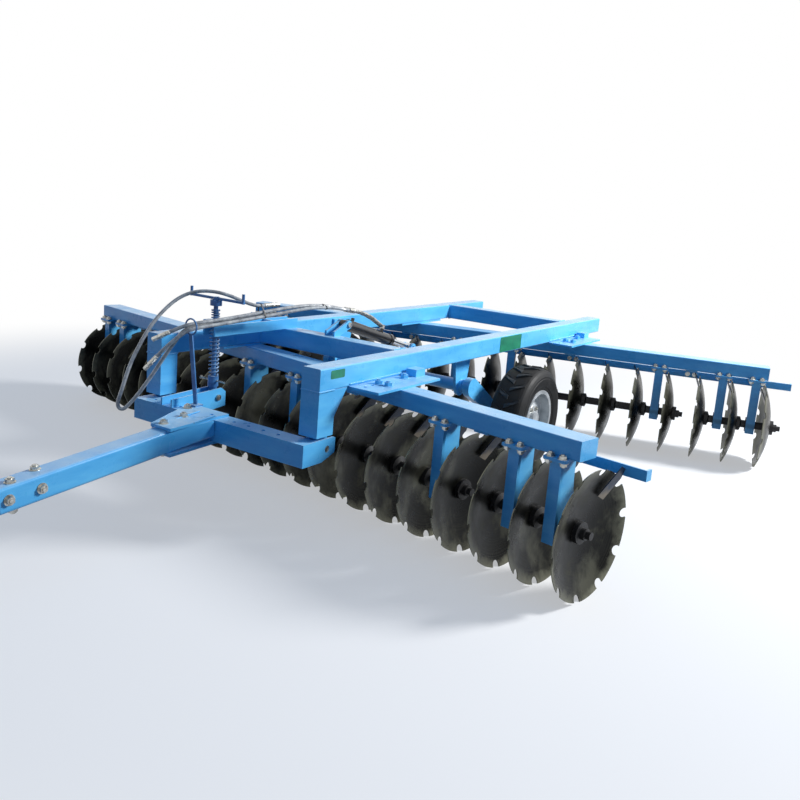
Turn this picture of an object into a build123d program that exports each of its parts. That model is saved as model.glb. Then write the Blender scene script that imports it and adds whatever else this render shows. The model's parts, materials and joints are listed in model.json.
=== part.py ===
from build123d import *
import os
from math import cos, pi, radians, sin, sqrt, tan

# Trailed offset disc harrow. Millimetres, Z up, Y towards the rear, X towards the
# left side of the machine. Lengths below are counted from the middle of the frame
# (X), its front ends (Y) and the ground (Z); MID_X and MID_Y then put the origin on
# the ground under the middle of the whole machine.
os.makedirs("parts", exist_ok=True)

MID_X, MID_Y = -128.97, 1245.52
DATUM = Location((-MID_X, -MID_Y, 0))


def finish(builder, name):
    """Names a finished piece, moves it to the machine's origin and writes it."""
    solid = builder.part.moved(DATUM)
    solid.label = name
    export_step(solid, f"parts/{name}.step")
    return solid


# Main frame
FRAME_W, FRAME_L = 1350.0, 4070.0     # over the outer faces of the tubes
FRAME_TOP = 945.0
TUBE = 125.0                          # square tube of the frame and drop posts
FRONT_TUBE_Y, REAR_TUBE_Y = 858.0, 3405.0
SIDE_X = FRAME_W / 2 - TUBE / 2
FRAME_LOW = FRAME_TOP - TUBE

with BuildPart() as longitudinals:
    with Locations((SIDE_X, FRAME_L / 2, FRAME_TOP - TUBE / 2),
                   (-SIDE_X, FRAME_L / 2, FRAME_TOP - TUBE / 2)):
        Box(TUBE, FRAME_L, TUBE)
    fillet(longitudinals.edges().filter_by(Axis.Y), 10)
finish(longitudinals, "longitudinals")

CROSS_L = FRAME_W - 2 * TUBE
# lugs that carry the lift cylinder stand on the front cross tube
LUG_T, LUG_GAP = 16.0, 50.0
LUG_PIN_Y, LUG_PIN_Z = 1065.0, 1011.0
PIN_R = 12.5
PIN_FIT = 0.3
LUG_R = 30.0

with BuildPart() as front_cross_tube:
    with Locations((0, FRONT_TUBE_Y + TUBE / 2, FRAME_TOP - TUBE / 2)):
        Box(CROSS_L, TUBE, TUBE)
    fillet(front_cross_tube.edges().filter_by(Axis.X), 10)
    for side in (-1, 1):
        x0 = side * (LUG_GAP / 2 + LUG_T / 2) - LUG_T / 2
        with BuildSketch(Plane.YZ.offset(x0)):
            with BuildLine():
                Polyline((FRONT_TUBE_Y + 55, FRAME_TOP - 1), (FRONT_TUBE_Y + 113, FRAME_TOP - 1),
                         (LUG_PIN_Y + 24, LUG_PIN_Z - 20), (LUG_PIN_Y + 8, LUG_PIN_Z + 29),
                         (LUG_PIN_Y - 24, LUG_PIN_Z + 18), (FRONT_TUBE_Y + 55, FRAME_TOP + 30),
                         close=True)
            make_face()
            with Locations((LUG_PIN_Y, LUG_PIN_Z)):
                Circle(LUG_R)
                Circle(PIN_R + PIN_FIT, mode=Mode.SUBTRACT)
        extrude(amount=LUG_T)
finish(front_cross_tube, "front_cross_tube")

with BuildPart() as rear_cross_tube:
    with Locations((0, REAR_TUBE_Y + TUBE / 2, FRAME_TOP - TUBE / 2)):
        Box(CROSS_L, TUBE, TUBE)
    fillet(rear_cross_tube.edges().filter_by(Axis.X), 10)
finish(rear_cross_tube, "rear_cross_tube")

# Drop posts
POST_FOOT = 570.0
GUSSET_T, GUSSET_TOP, GUSSET_FOOT = 18.0, 113.0, 150.0
DRAW_Y, DRAW_Z = 107.0, 493.0         # axis on which the drawbar frame hinges
DRAW_PIN_R = 19.0
POST_LUG_T, POST_LUG_R = 40.0, 46.0
POST_LUG_X = 620.0

with BuildPart() as front_posts:
    for side in (-1, 1):
        with Locations((side * SIDE_X, TUBE / 2, (POST_FOOT + FRAME_LOW) / 2)):
            Box(TUBE, TUBE, FRAME_LOW - POST_FOOT)
        flush = FRAME_W / 2 if side > 0 else -FRAME_W / 2 + GUSSET_T
        with BuildSketch(Plane.YZ.offset(flush - GUSSET_T)):
            with BuildLine():
                Polyline((TUBE - 2, FRAME_LOW), (TUBE + GUSSET_TOP, FRAME_LOW),
                         (TUBE + 10, FRAME_LOW - GUSSET_FOOT), (TUBE + 10, POST_FOOT),
                         (TUBE - 2, POST_FOOT), close=True)
            make_face()
        extrude(amount=GUSSET_T)
        lug_x = side * POST_LUG_X - POST_LUG_T / 2
        with BuildSketch(Plane.YZ.offset(lug_x)):
            with BuildLine():
                Polyline((DRAW_Y - POST_LUG_R, DRAW_Z), (DRAW_Y - POST_LUG_R, POST_FOOT + 2),
                         (TUBE, POST_FOOT + 2), (DRAW_Y + POST_LUG_R, DRAW_Z), close=True)
            make_face()
            with Locations((DRAW_Y, DRAW_Z)):
                Circle(POST_LUG_R)
                Circle(DRAW_PIN_R + PIN_FIT, mode=Mode.SUBTRACT)
        extrude(amount=POST_LUG_T)
finish(front_posts, "front_posts")

# Gang beams
BEAM_W, BEAM_H = 150.0, 100.0
CLAMP_T = 14.0
BEAM_TOP = FRAME_LOW - CLAMP_T
BEAM_LOW = BEAM_TOP - BEAM_H
FRONT_ANGLE, REAR_ANGLE = 10.0, 13.5
FRONT_Y, REAR_Y = 632.0, 3033.0       # front faces where they cross the middle
FRONT_NEAR, FRONT_FAR = 2050.0, 2571.0
REAR_NEAR, REAR_FAR = 2330.0, 2230.0


def gang_frame(angle, y):
    """Plane of a gang: its x runs along the beam, its y square to it, rearward."""
    a = radians(angle)
    return Plane(origin=(0, y, 0), x_dir=(cos(a), sin(a), 0), z_dir=(0, 0, 1))


FRONT = gang_frame(-FRONT_ANGLE, FRONT_Y)
REAR = gang_frame(REAR_ANGLE, REAR_Y)


def spot(gang, x, y, z):
    """A point of a gang's plane, in the frame's own lengths."""
    return gang.from_local_coords(Vector(x, y, z))


for name, gang, near, far in (("front_gang_beam", FRONT, FRONT_NEAR, FRONT_FAR),
                              ("rear_gang_beam", REAR, REAR_NEAR, REAR_FAR)):
    with BuildPart() as beam:
        with BuildSketch(gang.offset(BEAM_LOW)):
            with Locations(((near - far) / 2, BEAM_W / 2)):
                Rectangle(near + far, BEAM_W)
        extrude(amount=BEAM_H)
        fillet(beam.edges().filter_by(Axis(spot(gang, 0, 0, 0), gang.x_dir)), 8)
    finish(beam, name)

# Clamp plates lie between the beams and the longitudinals. Each has a row of holes
# for another gang angle and an upright cleat behind the beam.
CLAMP_IN, CLAMP_OUT, CLAMP_L = FRAME_W / 2 - TUBE, 870.0, 640.0
CLAMP_HOLE_R = 11.0
CLEAT = (70.0, 100.0, 44.0)

with BuildPart() as beam_clamps:
    for angle, y in ((-FRONT_ANGLE, FRONT_Y), (REAR_ANGLE, REAR_Y)):
        for side in (-1, 1):
            mid_x = side * (CLAMP_IN + CLAMP_OUT) / 2
            mid_y = y + mid_x * tan(radians(angle)) + BEAM_W / 2
            with BuildSketch(Plane.XY.offset(BEAM_TOP)):
                with Locations((mid_x, mid_y)):
                    Rectangle(CLAMP_OUT - CLAMP_IN, CLAMP_L)
                for dy in (-260, -190, 190):
                    with Locations((side * (FRAME_W / 2 + 60), mid_y + dy)):
                        Circle(CLAMP_HOLE_R, mode=Mode.SUBTRACT)
            extrude(amount=CLAMP_T)
            with Locations((side * (FRAME_W / 2 + 20 + CLEAT[0] / 2), mid_y + CLAMP_L / 2 - 60,
                            FRAME_LOW + CLEAT[2] / 2)):
                Box(*CLEAT)
finish(beam_clamps, "beam_clamps")

# Disc gangs
DISC_R, DISC_T, DISC_DEPTH = 330.0, 6.0, 75.0
DISC_FLAT = 62.0
# half-round notches in the rim; none lies straight below or beside the axle
NOTCHES, NOTCH_R, NOTCH_IN, NOTCH_START = 10, 26.0, 8.0, 9.0
PITCH = 245.0
AXLE_Z = DISC_R
FRONT_DISC, REAR_DISC = 2020.0, 2391.0   # hub of the outermost left disc
FRONT_AXLE_Y, REAR_AXLE_Y = 110.0, 50.0  # behind the front face of the beam
SECTIONS = ((0, 2), (3, 9), (10, 16), (17, 19))
HANGERS = (0, 1, 3, 8, 10, 15, 17, 18)   # a bearing between this disc and the next
SHAFT_R, SPOOL_R, SPOOL_END_R, SPOOL_END_T = 20.0, 30.0, 56.0, 24.0
SPOOL_NECK_T = 34.0
NUT_R, NUT_T, STUB = 30.0, 26.0, 26.0

# cross-section of a disc, radius against distance from its flat centre
CAP_R = (DISC_R ** 2 + DISC_DEPTH ** 2) / (2 * DISC_DEPTH)


def disc_face(r):
    """How far the disc has dished at a radius r."""
    return CAP_R - sqrt(CAP_R ** 2 - r ** 2) if r > DISC_FLAT else 0.0


def section_plane(gang, axle_y):
    """Plane through the axle: x along the axle, y up."""
    o = spot(gang, 0, axle_y, AXLE_Z)
    return Plane(origin=o, x_dir=gang.x_dir, z_dir=-gang.y_dir)


GANGS = (("front", FRONT, FRONT_DISC, FRONT_AXLE_Y, 1), ("rear", REAR, REAR_DISC, REAR_AXLE_Y, -1))
flat_start = CAP_R - sqrt(CAP_R ** 2 - DISC_FLAT ** 2)
dish_end = CAP_R - sqrt(CAP_R ** 2 - DISC_R ** 2) - flat_start
dish_mid_r = (DISC_FLAT + DISC_R) / 2
dish_mid = CAP_R - sqrt(CAP_R ** 2 - dish_mid_r ** 2) - flat_start

for gang_name, gang, first, axle_y, dish in GANGS:
    plane = section_plane(gang, axle_y)
    turn_axis = Axis(plane.origin, plane.x_dir)
    with BuildPart() as blade:
        with BuildSketch(plane):
            with BuildLine():
                a, b = -DISC_T / 2, DISC_T / 2
                Line((a, SHAFT_R), (a, DISC_FLAT))
                ThreePointArc((a, DISC_FLAT), (a + dish * dish_mid, dish_mid_r), (a + dish * dish_end, DISC_R))
                Line((a + dish * dish_end, DISC_R), (b + dish * dish_end, DISC_R))
                ThreePointArc((b + dish * dish_end, DISC_R), (b + dish * dish_mid, dish_mid_r), (b, DISC_FLAT))
                Line((b, DISC_FLAT), (b, SHAFT_R))
                Line((b, SHAFT_R), (a, SHAFT_R))
            make_face()
        revolve(axis=turn_axis)
        rim_plane = Plane(origin=plane.origin + plane.x_dir * dish * dish_end, x_dir=-plane.z_dir,
                          z_dir=plane.x_dir)
        with BuildSketch(rim_plane):
            with PolarLocations(DISC_R - NOTCH_IN, NOTCHES, start_angle=NOTCH_START):
                Circle(NOTCH_R)
        extrude(amount=DISC_DEPTH / 2, both=True, mode=Mode.SUBTRACT)
    for number, (lo, hi) in enumerate(SECTIONS, 1):
        with BuildPart() as discs:
            with Locations(*[plane.x_dir * (first - PITCH * k) for k in range(lo, hi + 1)]):
                add(blade.part)
        finish(discs, f"{gang_name}_discs_{number}")

        # spools between the discs, an end washer and nut outside the last ones
        left, right = first - PITCH * lo, first - PITCH * hi
        with BuildPart() as axle:
            with BuildSketch(plane):
                with Locations(((left + right) / 2, SHAFT_R / 2)):
                    Rectangle(left - right + 2 * (DISC_T / 2 + SPOOL_END_T + NUT_T + STUB), SHAFT_R)
                for k in range(lo, hi):
                    x = first - PITCH * (k + 0.5)
                    half = (PITCH - DISC_T) / 2
                    with BuildLine():
                        Polyline((x - half, 0), (x - half, SPOOL_END_R),
                                 (x - half + SPOOL_END_T, SPOOL_END_R),
                                 (x - half + SPOOL_NECK_T, SPOOL_R), (x + half - SPOOL_NECK_T, SPOOL_R),
                                 (x + half - SPOOL_END_T, SPOOL_END_R), (x + half, SPOOL_END_R),
                                 (x + half, 0), close=True)
                    make_face()
                for x, out in ((left, 1), (right, -1)):
                    with Locations((x + out * (DISC_T / 2 + SPOOL_END_T / 2), SPOOL_END_R / 2)):
                        Rectangle(SPOOL_END_T, SPOOL_END_R)
                    with Locations((x + out * (DISC_T / 2 + SPOOL_END_T + NUT_T / 2), NUT_R / 2)):
                        Rectangle(NUT_T, NUT_R)
            revolve(axis=turn_axis)
        finish(axle, f"{gang_name}_axle_{number}")

# Hangers
HANGER_SHIFT = {1: 40.0, -1: -20.0}   # towards the hollow side of the discs
HEAD_W, HEAD_FRONT, HEAD_REAR, HEAD_T = 120.0, 45.0, 165.0, 16.0
BAR_W, BAR_T, BAR_FOOT = 65.0, 20.0, 270.0
WEB_T = 20.0
BEARING_R, BEARING_W, BEARING_FIT = 58.0, 70.0, 0.5


def side_plane(gang, x):
    """Plane across the gang at x: its x runs rearward, its y up."""
    return Plane(origin=spot(gang, x, 0, 0), x_dir=gang.y_dir, z_dir=gang.x_dir)


HEAD_LOW = BEAM_LOW - HEAD_T

with BuildPart() as hangers:
    for gang_name, gang, first, axle_y, dish in GANGS:
        for k in HANGERS:
            x = first - PITCH * (k + 0.5) + HANGER_SHIFT[dish]
            with BuildSketch(side_plane(gang, x - HEAD_W / 2)):
                with Locations(((HEAD_REAR - HEAD_FRONT) / 2, BEAM_LOW - HEAD_T / 2)):
                    Rectangle(HEAD_FRONT + HEAD_REAR, HEAD_T)
            extrude(amount=HEAD_W)
            with BuildSketch(side_plane(gang, x - BAR_W / 2)):
                with Locations((-BAR_T / 2, (HEAD_LOW + BAR_FOOT) / 2)):
                    Rectangle(BAR_T, HEAD_LOW - BAR_FOOT)
            extrude(amount=BAR_W)
            with BuildSketch(side_plane(gang, x - WEB_T / 2)):
                with BuildLine():
                    Polyline((-2, HEAD_LOW), (HEAD_REAR - 20, HEAD_LOW), (HEAD_REAR - 20, HEAD_LOW - 120),
                             (axle_y + BEARING_R - 4, AXLE_Z + 110), (axle_y + BEARING_R - 4, AXLE_Z),
                             (-2, BAR_FOOT + 20), close=True)
                make_face()
            extrude(amount=WEB_T)
            with BuildSketch(side_plane(gang, x - BEARING_W / 2)):
                with Locations((axle_y, AXLE_Z)):
                    Circle(BEARING_R)
            extrude(amount=BEARING_W)
            with BuildSketch(side_plane(gang, x - BEARING_W / 2)):
                with Locations((axle_y, AXLE_Z)):
                    Circle(SPOOL_R + BEARING_FIT)
            extrude(amount=BEARING_W, mode=Mode.SUBTRACT)
finish(hangers, "hangers")

# Scrapers
RAIL_Y, RAIL_T, RAIL_LOW, RAIL_TOP = 300.0, 12.0, 610.0, 666.0
RAIL_OVER = 195.0                     # how far a rail runs past the beam's left end
RAIL_PAST = {1: 0.0, -1: 190.0}       # and past its right end
STAY_SPOTS, STAY_W, STAY_T, STAY_FRONT = (2, 6, 12, 16), 90.0, 12.0, 20.0
BLADE_W, BLADE_T = 60.0, 6.0
BLADE_TOP = (110.0, 186.0, 318.0)     # from the disc's hub: along, back, up
BLADE_TIP = (42.0, 105.0, 165.0)


def rail_place(axle_y):
    """How far the rail's front face stands behind the front of the beam."""
    return RAIL_Y - FRONT_AXLE_Y + axle_y


with BuildPart() as scraper_rails:
    for gang_name, gang, first, axle_y, dish in GANGS:
        near, far = (FRONT_NEAR, FRONT_FAR) if dish > 0 else (REAR_NEAR, REAR_FAR)
        rail_y = rail_place(axle_y)
        with BuildSketch(gang.offset(RAIL_LOW)):
            with Locations(((near + RAIL_OVER - far - RAIL_PAST[dish]) / 2, rail_y + RAIL_T / 2)):
                Rectangle(near + RAIL_OVER + far + RAIL_PAST[dish], RAIL_T)
            with Locations((near + RAIL_OVER - RAIL_T / 2, rail_y + 25)):
                Rectangle(RAIL_T, 50)
        extrude(amount=RAIL_TOP - RAIL_LOW)
finish(scraper_rails, "scraper_rails")

with BuildPart() as rail_stays:
    for gang_name, gang, first, axle_y, dish in GANGS:
        rear = rail_place(axle_y) + RAIL_T
        for k in STAY_SPOTS:
            x = first - PITCH * (k + 0.5) + HANGER_SHIFT[dish]
            with BuildSketch(gang.offset(BEAM_LOW - STAY_T)):
                with Locations((x, (STAY_FRONT + rear + STAY_T) / 2)):
                    Rectangle(STAY_W, rear + STAY_T - STAY_FRONT)
            extrude(amount=STAY_T)
            with BuildSketch(gang.offset(RAIL_LOW)):
                with Locations((x, rear + STAY_T / 2)):
                    Rectangle(STAY_W, STAY_T)
            extrude(amount=BEAM_LOW - RAIL_LOW)
finish(rail_stays, "rail_stays")

with BuildPart() as scrapers:
    for gang_name, gang, first, axle_y, dish in GANGS:
        for k in range(20):
            hub = Vector(first - PITCH * k, axle_y, AXLE_Z)
            top = hub + Vector(dish * BLADE_TOP[0], BLADE_TOP[1], BLADE_TOP[2])
            tip = hub + Vector(dish * BLADE_TIP[0], BLADE_TIP[1], BLADE_TIP[2])
            run = tip - top
            across = run.cross(Vector(1, 0, 0)).normalized()
            flat = run.cross(across).normalized()
            origin = gang.from_local_coords(top + run * 0.5)
            turned = [gang.from_local_coords(top + v) - gang.from_local_coords(top) for v in (across, flat)]
            with BuildSketch(Plane(origin=origin, x_dir=turned[0], z_dir=turned[1])):
                Rectangle(BLADE_W, run.length)
            extrude(amount=BLADE_T / 2, both=True)
    # the blades end on the front face of their rail
    for gang_name, gang, first, axle_y, dish in GANGS:
        with BuildSketch(gang.offset(RAIL_LOW - 60)):
            with Locations((0, rail_place(axle_y) + 100)):
                Rectangle(6000, 200)
        extrude(amount=200, mode=Mode.SUBTRACT)
finish(scrapers, "scrapers")

# Drawbar frame
BAR_FRONT, BAR_REAR = -94.0, 31.0     # the cross member in front of the posts
BAR_TOP, BAR_LOW = 551.0, 426.0
BAR_HALF = 667.0
CHEEK_T, CHEEK_REAR = 16.0, 173.0
INNER_CHEEK_X = 573.0
SPARE_HOLE_R, SPARE_PITCH = 11.0, 110.0

with BuildPart() as cross_member:
    with Locations((0, (BAR_FRONT + BAR_REAR) / 2, (BAR_TOP + BAR_LOW) / 2)):
        Box(2 * (BAR_HALF - CHEEK_T), BAR_REAR - BAR_FRONT, BAR_TOP - BAR_LOW)
    for x0, front in ((BAR_HALF - CHEEK_T, BAR_FRONT), (-BAR_HALF, BAR_FRONT),
                      (INNER_CHEEK_X, BAR_REAR - 1), (-INNER_CHEEK_X - CHEEK_T, BAR_REAR - 1)):
        with BuildSketch(Plane.YZ.offset(x0)) as cheek:
            with BuildLine():
                Polyline((front, BAR_LOW), (front, BAR_TOP), (CHEEK_REAR, BAR_TOP), (CHEEK_REAR, BAR_LOW + 38),
                         (BAR_REAR + 34, BAR_LOW), close=True)
            make_face()
            fillet(cheek.vertices().group_by(Axis.X)[-1], 10)
            with Locations((DRAW_Y, DRAW_Z)):
                Circle(DRAW_PIN_R + PIN_FIT, mode=Mode.SUBTRACT)
        extrude(amount=CHEEK_T)
    with BuildSketch(Plane.XY.offset(BAR_TOP)):
        with Locations(*[(x * SPARE_PITCH, -35) for x in (-5, -4, -3, 1, 2, 3, 4)]):
            Circle(SPARE_HOLE_R)
    extrude(amount=-(BAR_TOP - BAR_LOW), mode=Mode.SUBTRACT)
finish(cross_member, "cross_member")

with BuildPart() as drawbar_pins:
    for side in (-1, 1):
        with BuildSketch(Plane.YZ.offset(side * (INNER_CHEEK_X - 12))):
            with Locations((DRAW_Y, DRAW_Z)):
                Circle(DRAW_PIN_R)
        extrude(amount=side * (BAR_HALF - 3 - INNER_CHEEK_X + 12))
        with BuildSketch(Plane.YZ.offset(side * (INNER_CHEEK_X - 12))):
            with Locations((DRAW_Y, DRAW_Z)):
                Circle(DRAW_PIN_R + 8)
        extrude(amount=side * 11.7)
finish(drawbar_pins, "drawbar_pins")

# drawbar: a square tube that falls towards the hitch, held between two plates
POLE_X, POLE_W, POLE_WALL, POLE_R = -40.0, 125.0, 8.0, 18.0
POLE_Y, POLE_TOP_Z = -430.0, 548.0    # where its top meets the front of the plates
POLE_FALL = 5.5
POLE_FRONT = 940.0                    # its length ahead of that point
HEAD_PLATE_T = 16.0
fall = radians(POLE_FALL)
AHEAD = Vector(0, -cos(fall), -sin(fall))
POLE_UP = Vector(0, -sin(fall), cos(fall))
pole_top = Vector(POLE_X, POLE_Y, POLE_TOP_Z)
POLE = Plane(origin=pole_top, x_dir=(1, 0, 0), z_dir=POLE_UP)   # its y runs rearward

with BuildPart() as drawbar:
    mouth = pole_top + AHEAD * POLE_FRONT - POLE_UP * (POLE_W / 2)
    with BuildSketch(Plane(origin=mouth, x_dir=(1, 0, 0), z_dir=AHEAD)):
        RectangleRounded(POLE_W, POLE_W, POLE_R)
        RectangleRounded(POLE_W - 2 * POLE_WALL, POLE_W - 2 * POLE_WALL, POLE_R - POLE_WALL,
                         mode=Mode.SUBTRACT)
    extrude(amount=-(POLE_FRONT + 325))
    # the rear end is cut down level, so that it fits between the head plates
    with Locations((POLE_X, POLE_Y + 250, BAR_TOP + 100)):
        Box(400, 500, 200, mode=Mode.SUBTRACT)
    with Locations((POLE_X, POLE_Y + 250, BAR_LOW - 100)):
        Box(400, 500, 200, mode=Mode.SUBTRACT)
finish(drawbar, "drawbar")

with BuildPart() as head_plates:
    for z0 in (BAR_TOP, BAR_LOW - HEAD_PLATE_T):
        with BuildSketch(Plane.XY.offset(z0)):
            with BuildLine():
                Polyline((POLE_X + 80, -430), (POLE_X - 76, -430), (-250, -125), (-265, -85), (-265, 20),
                         (10, 20), (10, -94), close=True)
            make_face()
            with Locations((-44, -60)):
                Circle(SPARE_HOLE_R, mode=Mode.SUBTRACT)
        extrude(amount=HEAD_PLATE_T)
finish(head_plates, "head_plates")

# hitch: a shank bolted into the drawbar's open end, with a plate above and below
SHANK, SHANK_L = 80.0, 260.0
JAW_T, JAW_GAP, JAW_W, JAW_REACH, JAW_ROOT = 25.0, 60.0, 90.0, 150.0, 24.0
JAW_START = POLE_FRONT + 20           # where the plates begin, ahead of the head plates
HITCH_R = 16.5

with BuildPart() as hitch_shank:
    with BuildSketch(POLE.offset(-POLE_W / 2 - SHANK / 2)):
        with Locations((0, SHANK_L / 2 - JAW_START)):
            Rectangle(SHANK, SHANK_L)
    extrude(amount=SHANK)
    with BuildSketch(POLE.offset(-POLE_W / 2 - JAW_GAP / 2)):
        with Locations((0, -JAW_START - JAW_ROOT / 2)):
            Rectangle(JAW_W, JAW_ROOT)
    extrude(amount=JAW_GAP)
finish(hitch_shank, "hitch_shank")

with BuildPart() as hitch_plates:
    for z0 in (-POLE_W / 2 - JAW_GAP / 2 - JAW_T, -POLE_W / 2 + JAW_GAP / 2):
        with BuildSketch(POLE.offset(z0)):
            with Locations((0, -JAW_START - JAW_REACH / 2)):
                Rectangle(JAW_W, JAW_REACH)
            with Locations((0, -JAW_START - JAW_REACH)):
                Circle(JAW_W / 2)
                Circle(HITCH_R, mode=Mode.SUBTRACT)
        extrude(amount=JAW_T)
finish(hitch_plates, "hitch_plates")

# packing blocks fill the tube above and below the shank
PACKING_L = 230.0
with BuildPart() as hitch_packings:
    for z0 in (-(POLE_W - SHANK) / 2, -POLE_W + POLE_WALL):
        with BuildSketch(POLE.offset(z0)):
            with Locations((0, PACKING_L / 2 - POLE_FRONT)):
                Rectangle(SHANK, PACKING_L)
        extrude(amount=(POLE_W - SHANK) / 2 - POLE_WALL)
finish(hitch_packings, "hitch_packings")

# Levelling strut
LEVEL_X, LEVEL_Y, LEVEL_Z = -385.0, 270.0, 560.0
EAR_T, EAR_GAP = 12.0, 72.0
FOOT_PIN_R, FOOT_R, FOOT_W = 12.5, 28.0, 56.0

with BuildPart() as levelling_ears:
    for x0 in (LEVEL_X - EAR_GAP / 2 - EAR_T, LEVEL_X + EAR_GAP / 2):
        with BuildSketch(Plane.YZ.offset(x0)) as ear:
            with BuildLine():
                Polyline((BAR_FRONT, BAR_TOP), (BAR_FRONT, BAR_TOP + 47), (LEVEL_Y + 30, LEVEL_Z + 56),
                         (LEVEL_Y + 64, LEVEL_Z + 30), (LEVEL_Y + 64, LEVEL_Z - 60), (LEVEL_Y - 130, LEVEL_Z - 80),
                         (BAR_REAR, BAR_LOW + 14), (BAR_REAR, BAR_TOP), close=True)
            make_face()
            with Locations((LEVEL_Y, LEVEL_Z)):
                Circle(FOOT_PIN_R + PIN_FIT, mode=Mode.SUBTRACT)
        extrude(amount=EAR_T)
finish(levelling_ears, "levelling_ears")

CLIP_Z = 662.0
CLIP_PIN_R = 6.0
with BuildPart() as levelling_pin:
    with BuildSketch(Plane.YZ.offset(LEVEL_X - EAR_GAP / 2 - EAR_T - 12)):
        with Locations((LEVEL_Y, LEVEL_Z)):
            Circle(FOOT_PIN_R)
    extrude(amount=EAR_GAP + 2 * EAR_T + 24)
    with BuildSketch(Plane.YZ.offset(LEVEL_X + EAR_GAP / 2 + EAR_T + PIN_FIT)):
        with Locations((LEVEL_Y, LEVEL_Z)):
            Circle(FOOT_PIN_R + 6)
    extrude(amount=10)
    with BuildSketch(Plane.YZ.offset(LEVEL_X - EAR_GAP / 2 - EAR_T - PIN_FIT)):
        with Locations((LEVEL_Y, LEVEL_Z)):
            Circle(FOOT_PIN_R + 6)
    extrude(amount=-10)
finish(levelling_pin, "levelling_pin")

SEAT_LOW, SEAT_TOP, SEAT_R = 626.0, 690.0, 33.0
ROD_R = 14.0
GUIDE_LOW, GUIDE_T = 1010.0, 30.0
UPPER_SPRING = 55.0
HUB_LOW, HUB_T, HUB_R = 1128.0, 34.0, 36.0
HANDLE_L, HANDLE_R, HANDLE_Z, PEG_TOP = 460.0, 9.0, 1172.0, 1224.0
SPRING_R, SPRING_WIRE = 32.0, 9.0
UPPER_SPRING_R = 27.0

with BuildPart() as levelling_rod:
    with BuildSketch(Plane.YZ.offset(LEVEL_X - FOOT_W / 2)):
        with Locations((LEVEL_Y, LEVEL_Z)):
            Circle(FOOT_R)
    extrude(amount=FOOT_W)
    with BuildSketch(Plane((LEVEL_X, LEVEL_Y, LEVEL_Z + 20))):
        Circle(24)
    extrude(amount=SEAT_LOW - LEVEL_Z - 20)
    with BuildSketch(Plane((LEVEL_X, LEVEL_Y, SEAT_LOW))):
        Circle(SEAT_R)
    extrude(amount=SEAT_TOP - SEAT_LOW)
    with BuildSketch(Plane((LEVEL_X, LEVEL_Y, SEAT_TOP))):
        Circle(ROD_R)
    extrude(amount=HUB_LOW - SEAT_TOP)
    with BuildSketch(Plane((LEVEL_X, LEVEL_Y, GUIDE_LOW + GUIDE_T + UPPER_SPRING))):
        Circle(UPPER_SPRING_R)
    extrude(amount=8)
    with BuildSketch(Plane((LEVEL_X, LEVEL_Y, HUB_LOW))):
        Circle(HUB_R)
    extrude(amount=HUB_T)
    with BuildSketch(Plane((LEVEL_X, LEVEL_Y, HUB_LOW + HUB_T))):
        Circle(20)
    extrude(amount=HANDLE_Z - HUB_LOW - HUB_T + 10)
    with BuildSketch(Plane.YZ.offset(LEVEL_X + 5 - HANDLE_L / 2)):
        with Locations((LEVEL_Y, HANDLE_Z)):
            Circle(HANDLE_R)
    extrude(amount=HANDLE_L)
    for side in (-1, 1):
        with BuildSketch(Plane((LEVEL_X + 5 + side * (HANDLE_L / 2 - HANDLE_R), LEVEL_Y, HANDLE_Z - HANDLE_R))):
            Circle(HANDLE_R)
        extrude(amount=PEG_TOP - HANDLE_Z + HANDLE_R)
    with BuildSketch(Plane.YZ.offset(LEVEL_X - FOOT_W)):
        with Locations((LEVEL_Y, LEVEL_Z)):
            Circle(FOOT_PIN_R + PIN_FIT)
    extrude(amount=2 * FOOT_W, mode=Mode.SUBTRACT)
    with BuildSketch(Plane.YZ.offset(LEVEL_X - 2 * SEAT_R)):
        with Locations((LEVEL_Y, CLIP_Z)):
            Circle(CLIP_PIN_R + PIN_FIT)
    extrude(amount=4 * SEAT_R, mode=Mode.SUBTRACT)
finish(levelling_rod, "levelling_rod")

with BuildPart() as clip_pin:
    with BuildSketch(Plane.YZ.offset(LEVEL_X - 100)):
        with Locations((LEVEL_Y, CLIP_Z)):
            Circle(CLIP_PIN_R)
    extrude(amount=205)
    with BuildSketch(Plane.YZ.offset(LEVEL_X - 108)):
        with Locations((LEVEL_Y, CLIP_Z)):
            Circle(CLIP_PIN_R + 5)
    extrude(amount=8)
finish(clip_pin, "clip_pin")

for name, low, high, r, turns in (("lower_spring", SEAT_TOP, GUIDE_LOW, SPRING_R, 13),
                                  ("upper_spring", GUIDE_LOW + GUIDE_T, GUIDE_LOW + GUIDE_T + UPPER_SPRING,
                                   UPPER_SPRING_R, 3)):
    start = Plane((LEVEL_X, LEVEL_Y, low + SPRING_WIRE / 2))
    coil_r, rise = r - SPRING_WIRE / 2, high - low - SPRING_WIRE
    with BuildPart() as spring:
        with BuildLine(start):
            coil = Helix(pitch=rise / turns, height=rise, radius=coil_r)
        with BuildSketch(Plane(origin=coil @ 0, z_dir=coil % 0)):
            Circle(SPRING_WIRE / 2)
        sweep(path=coil, is_frenet=True)
    finish(spring, name)

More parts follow.
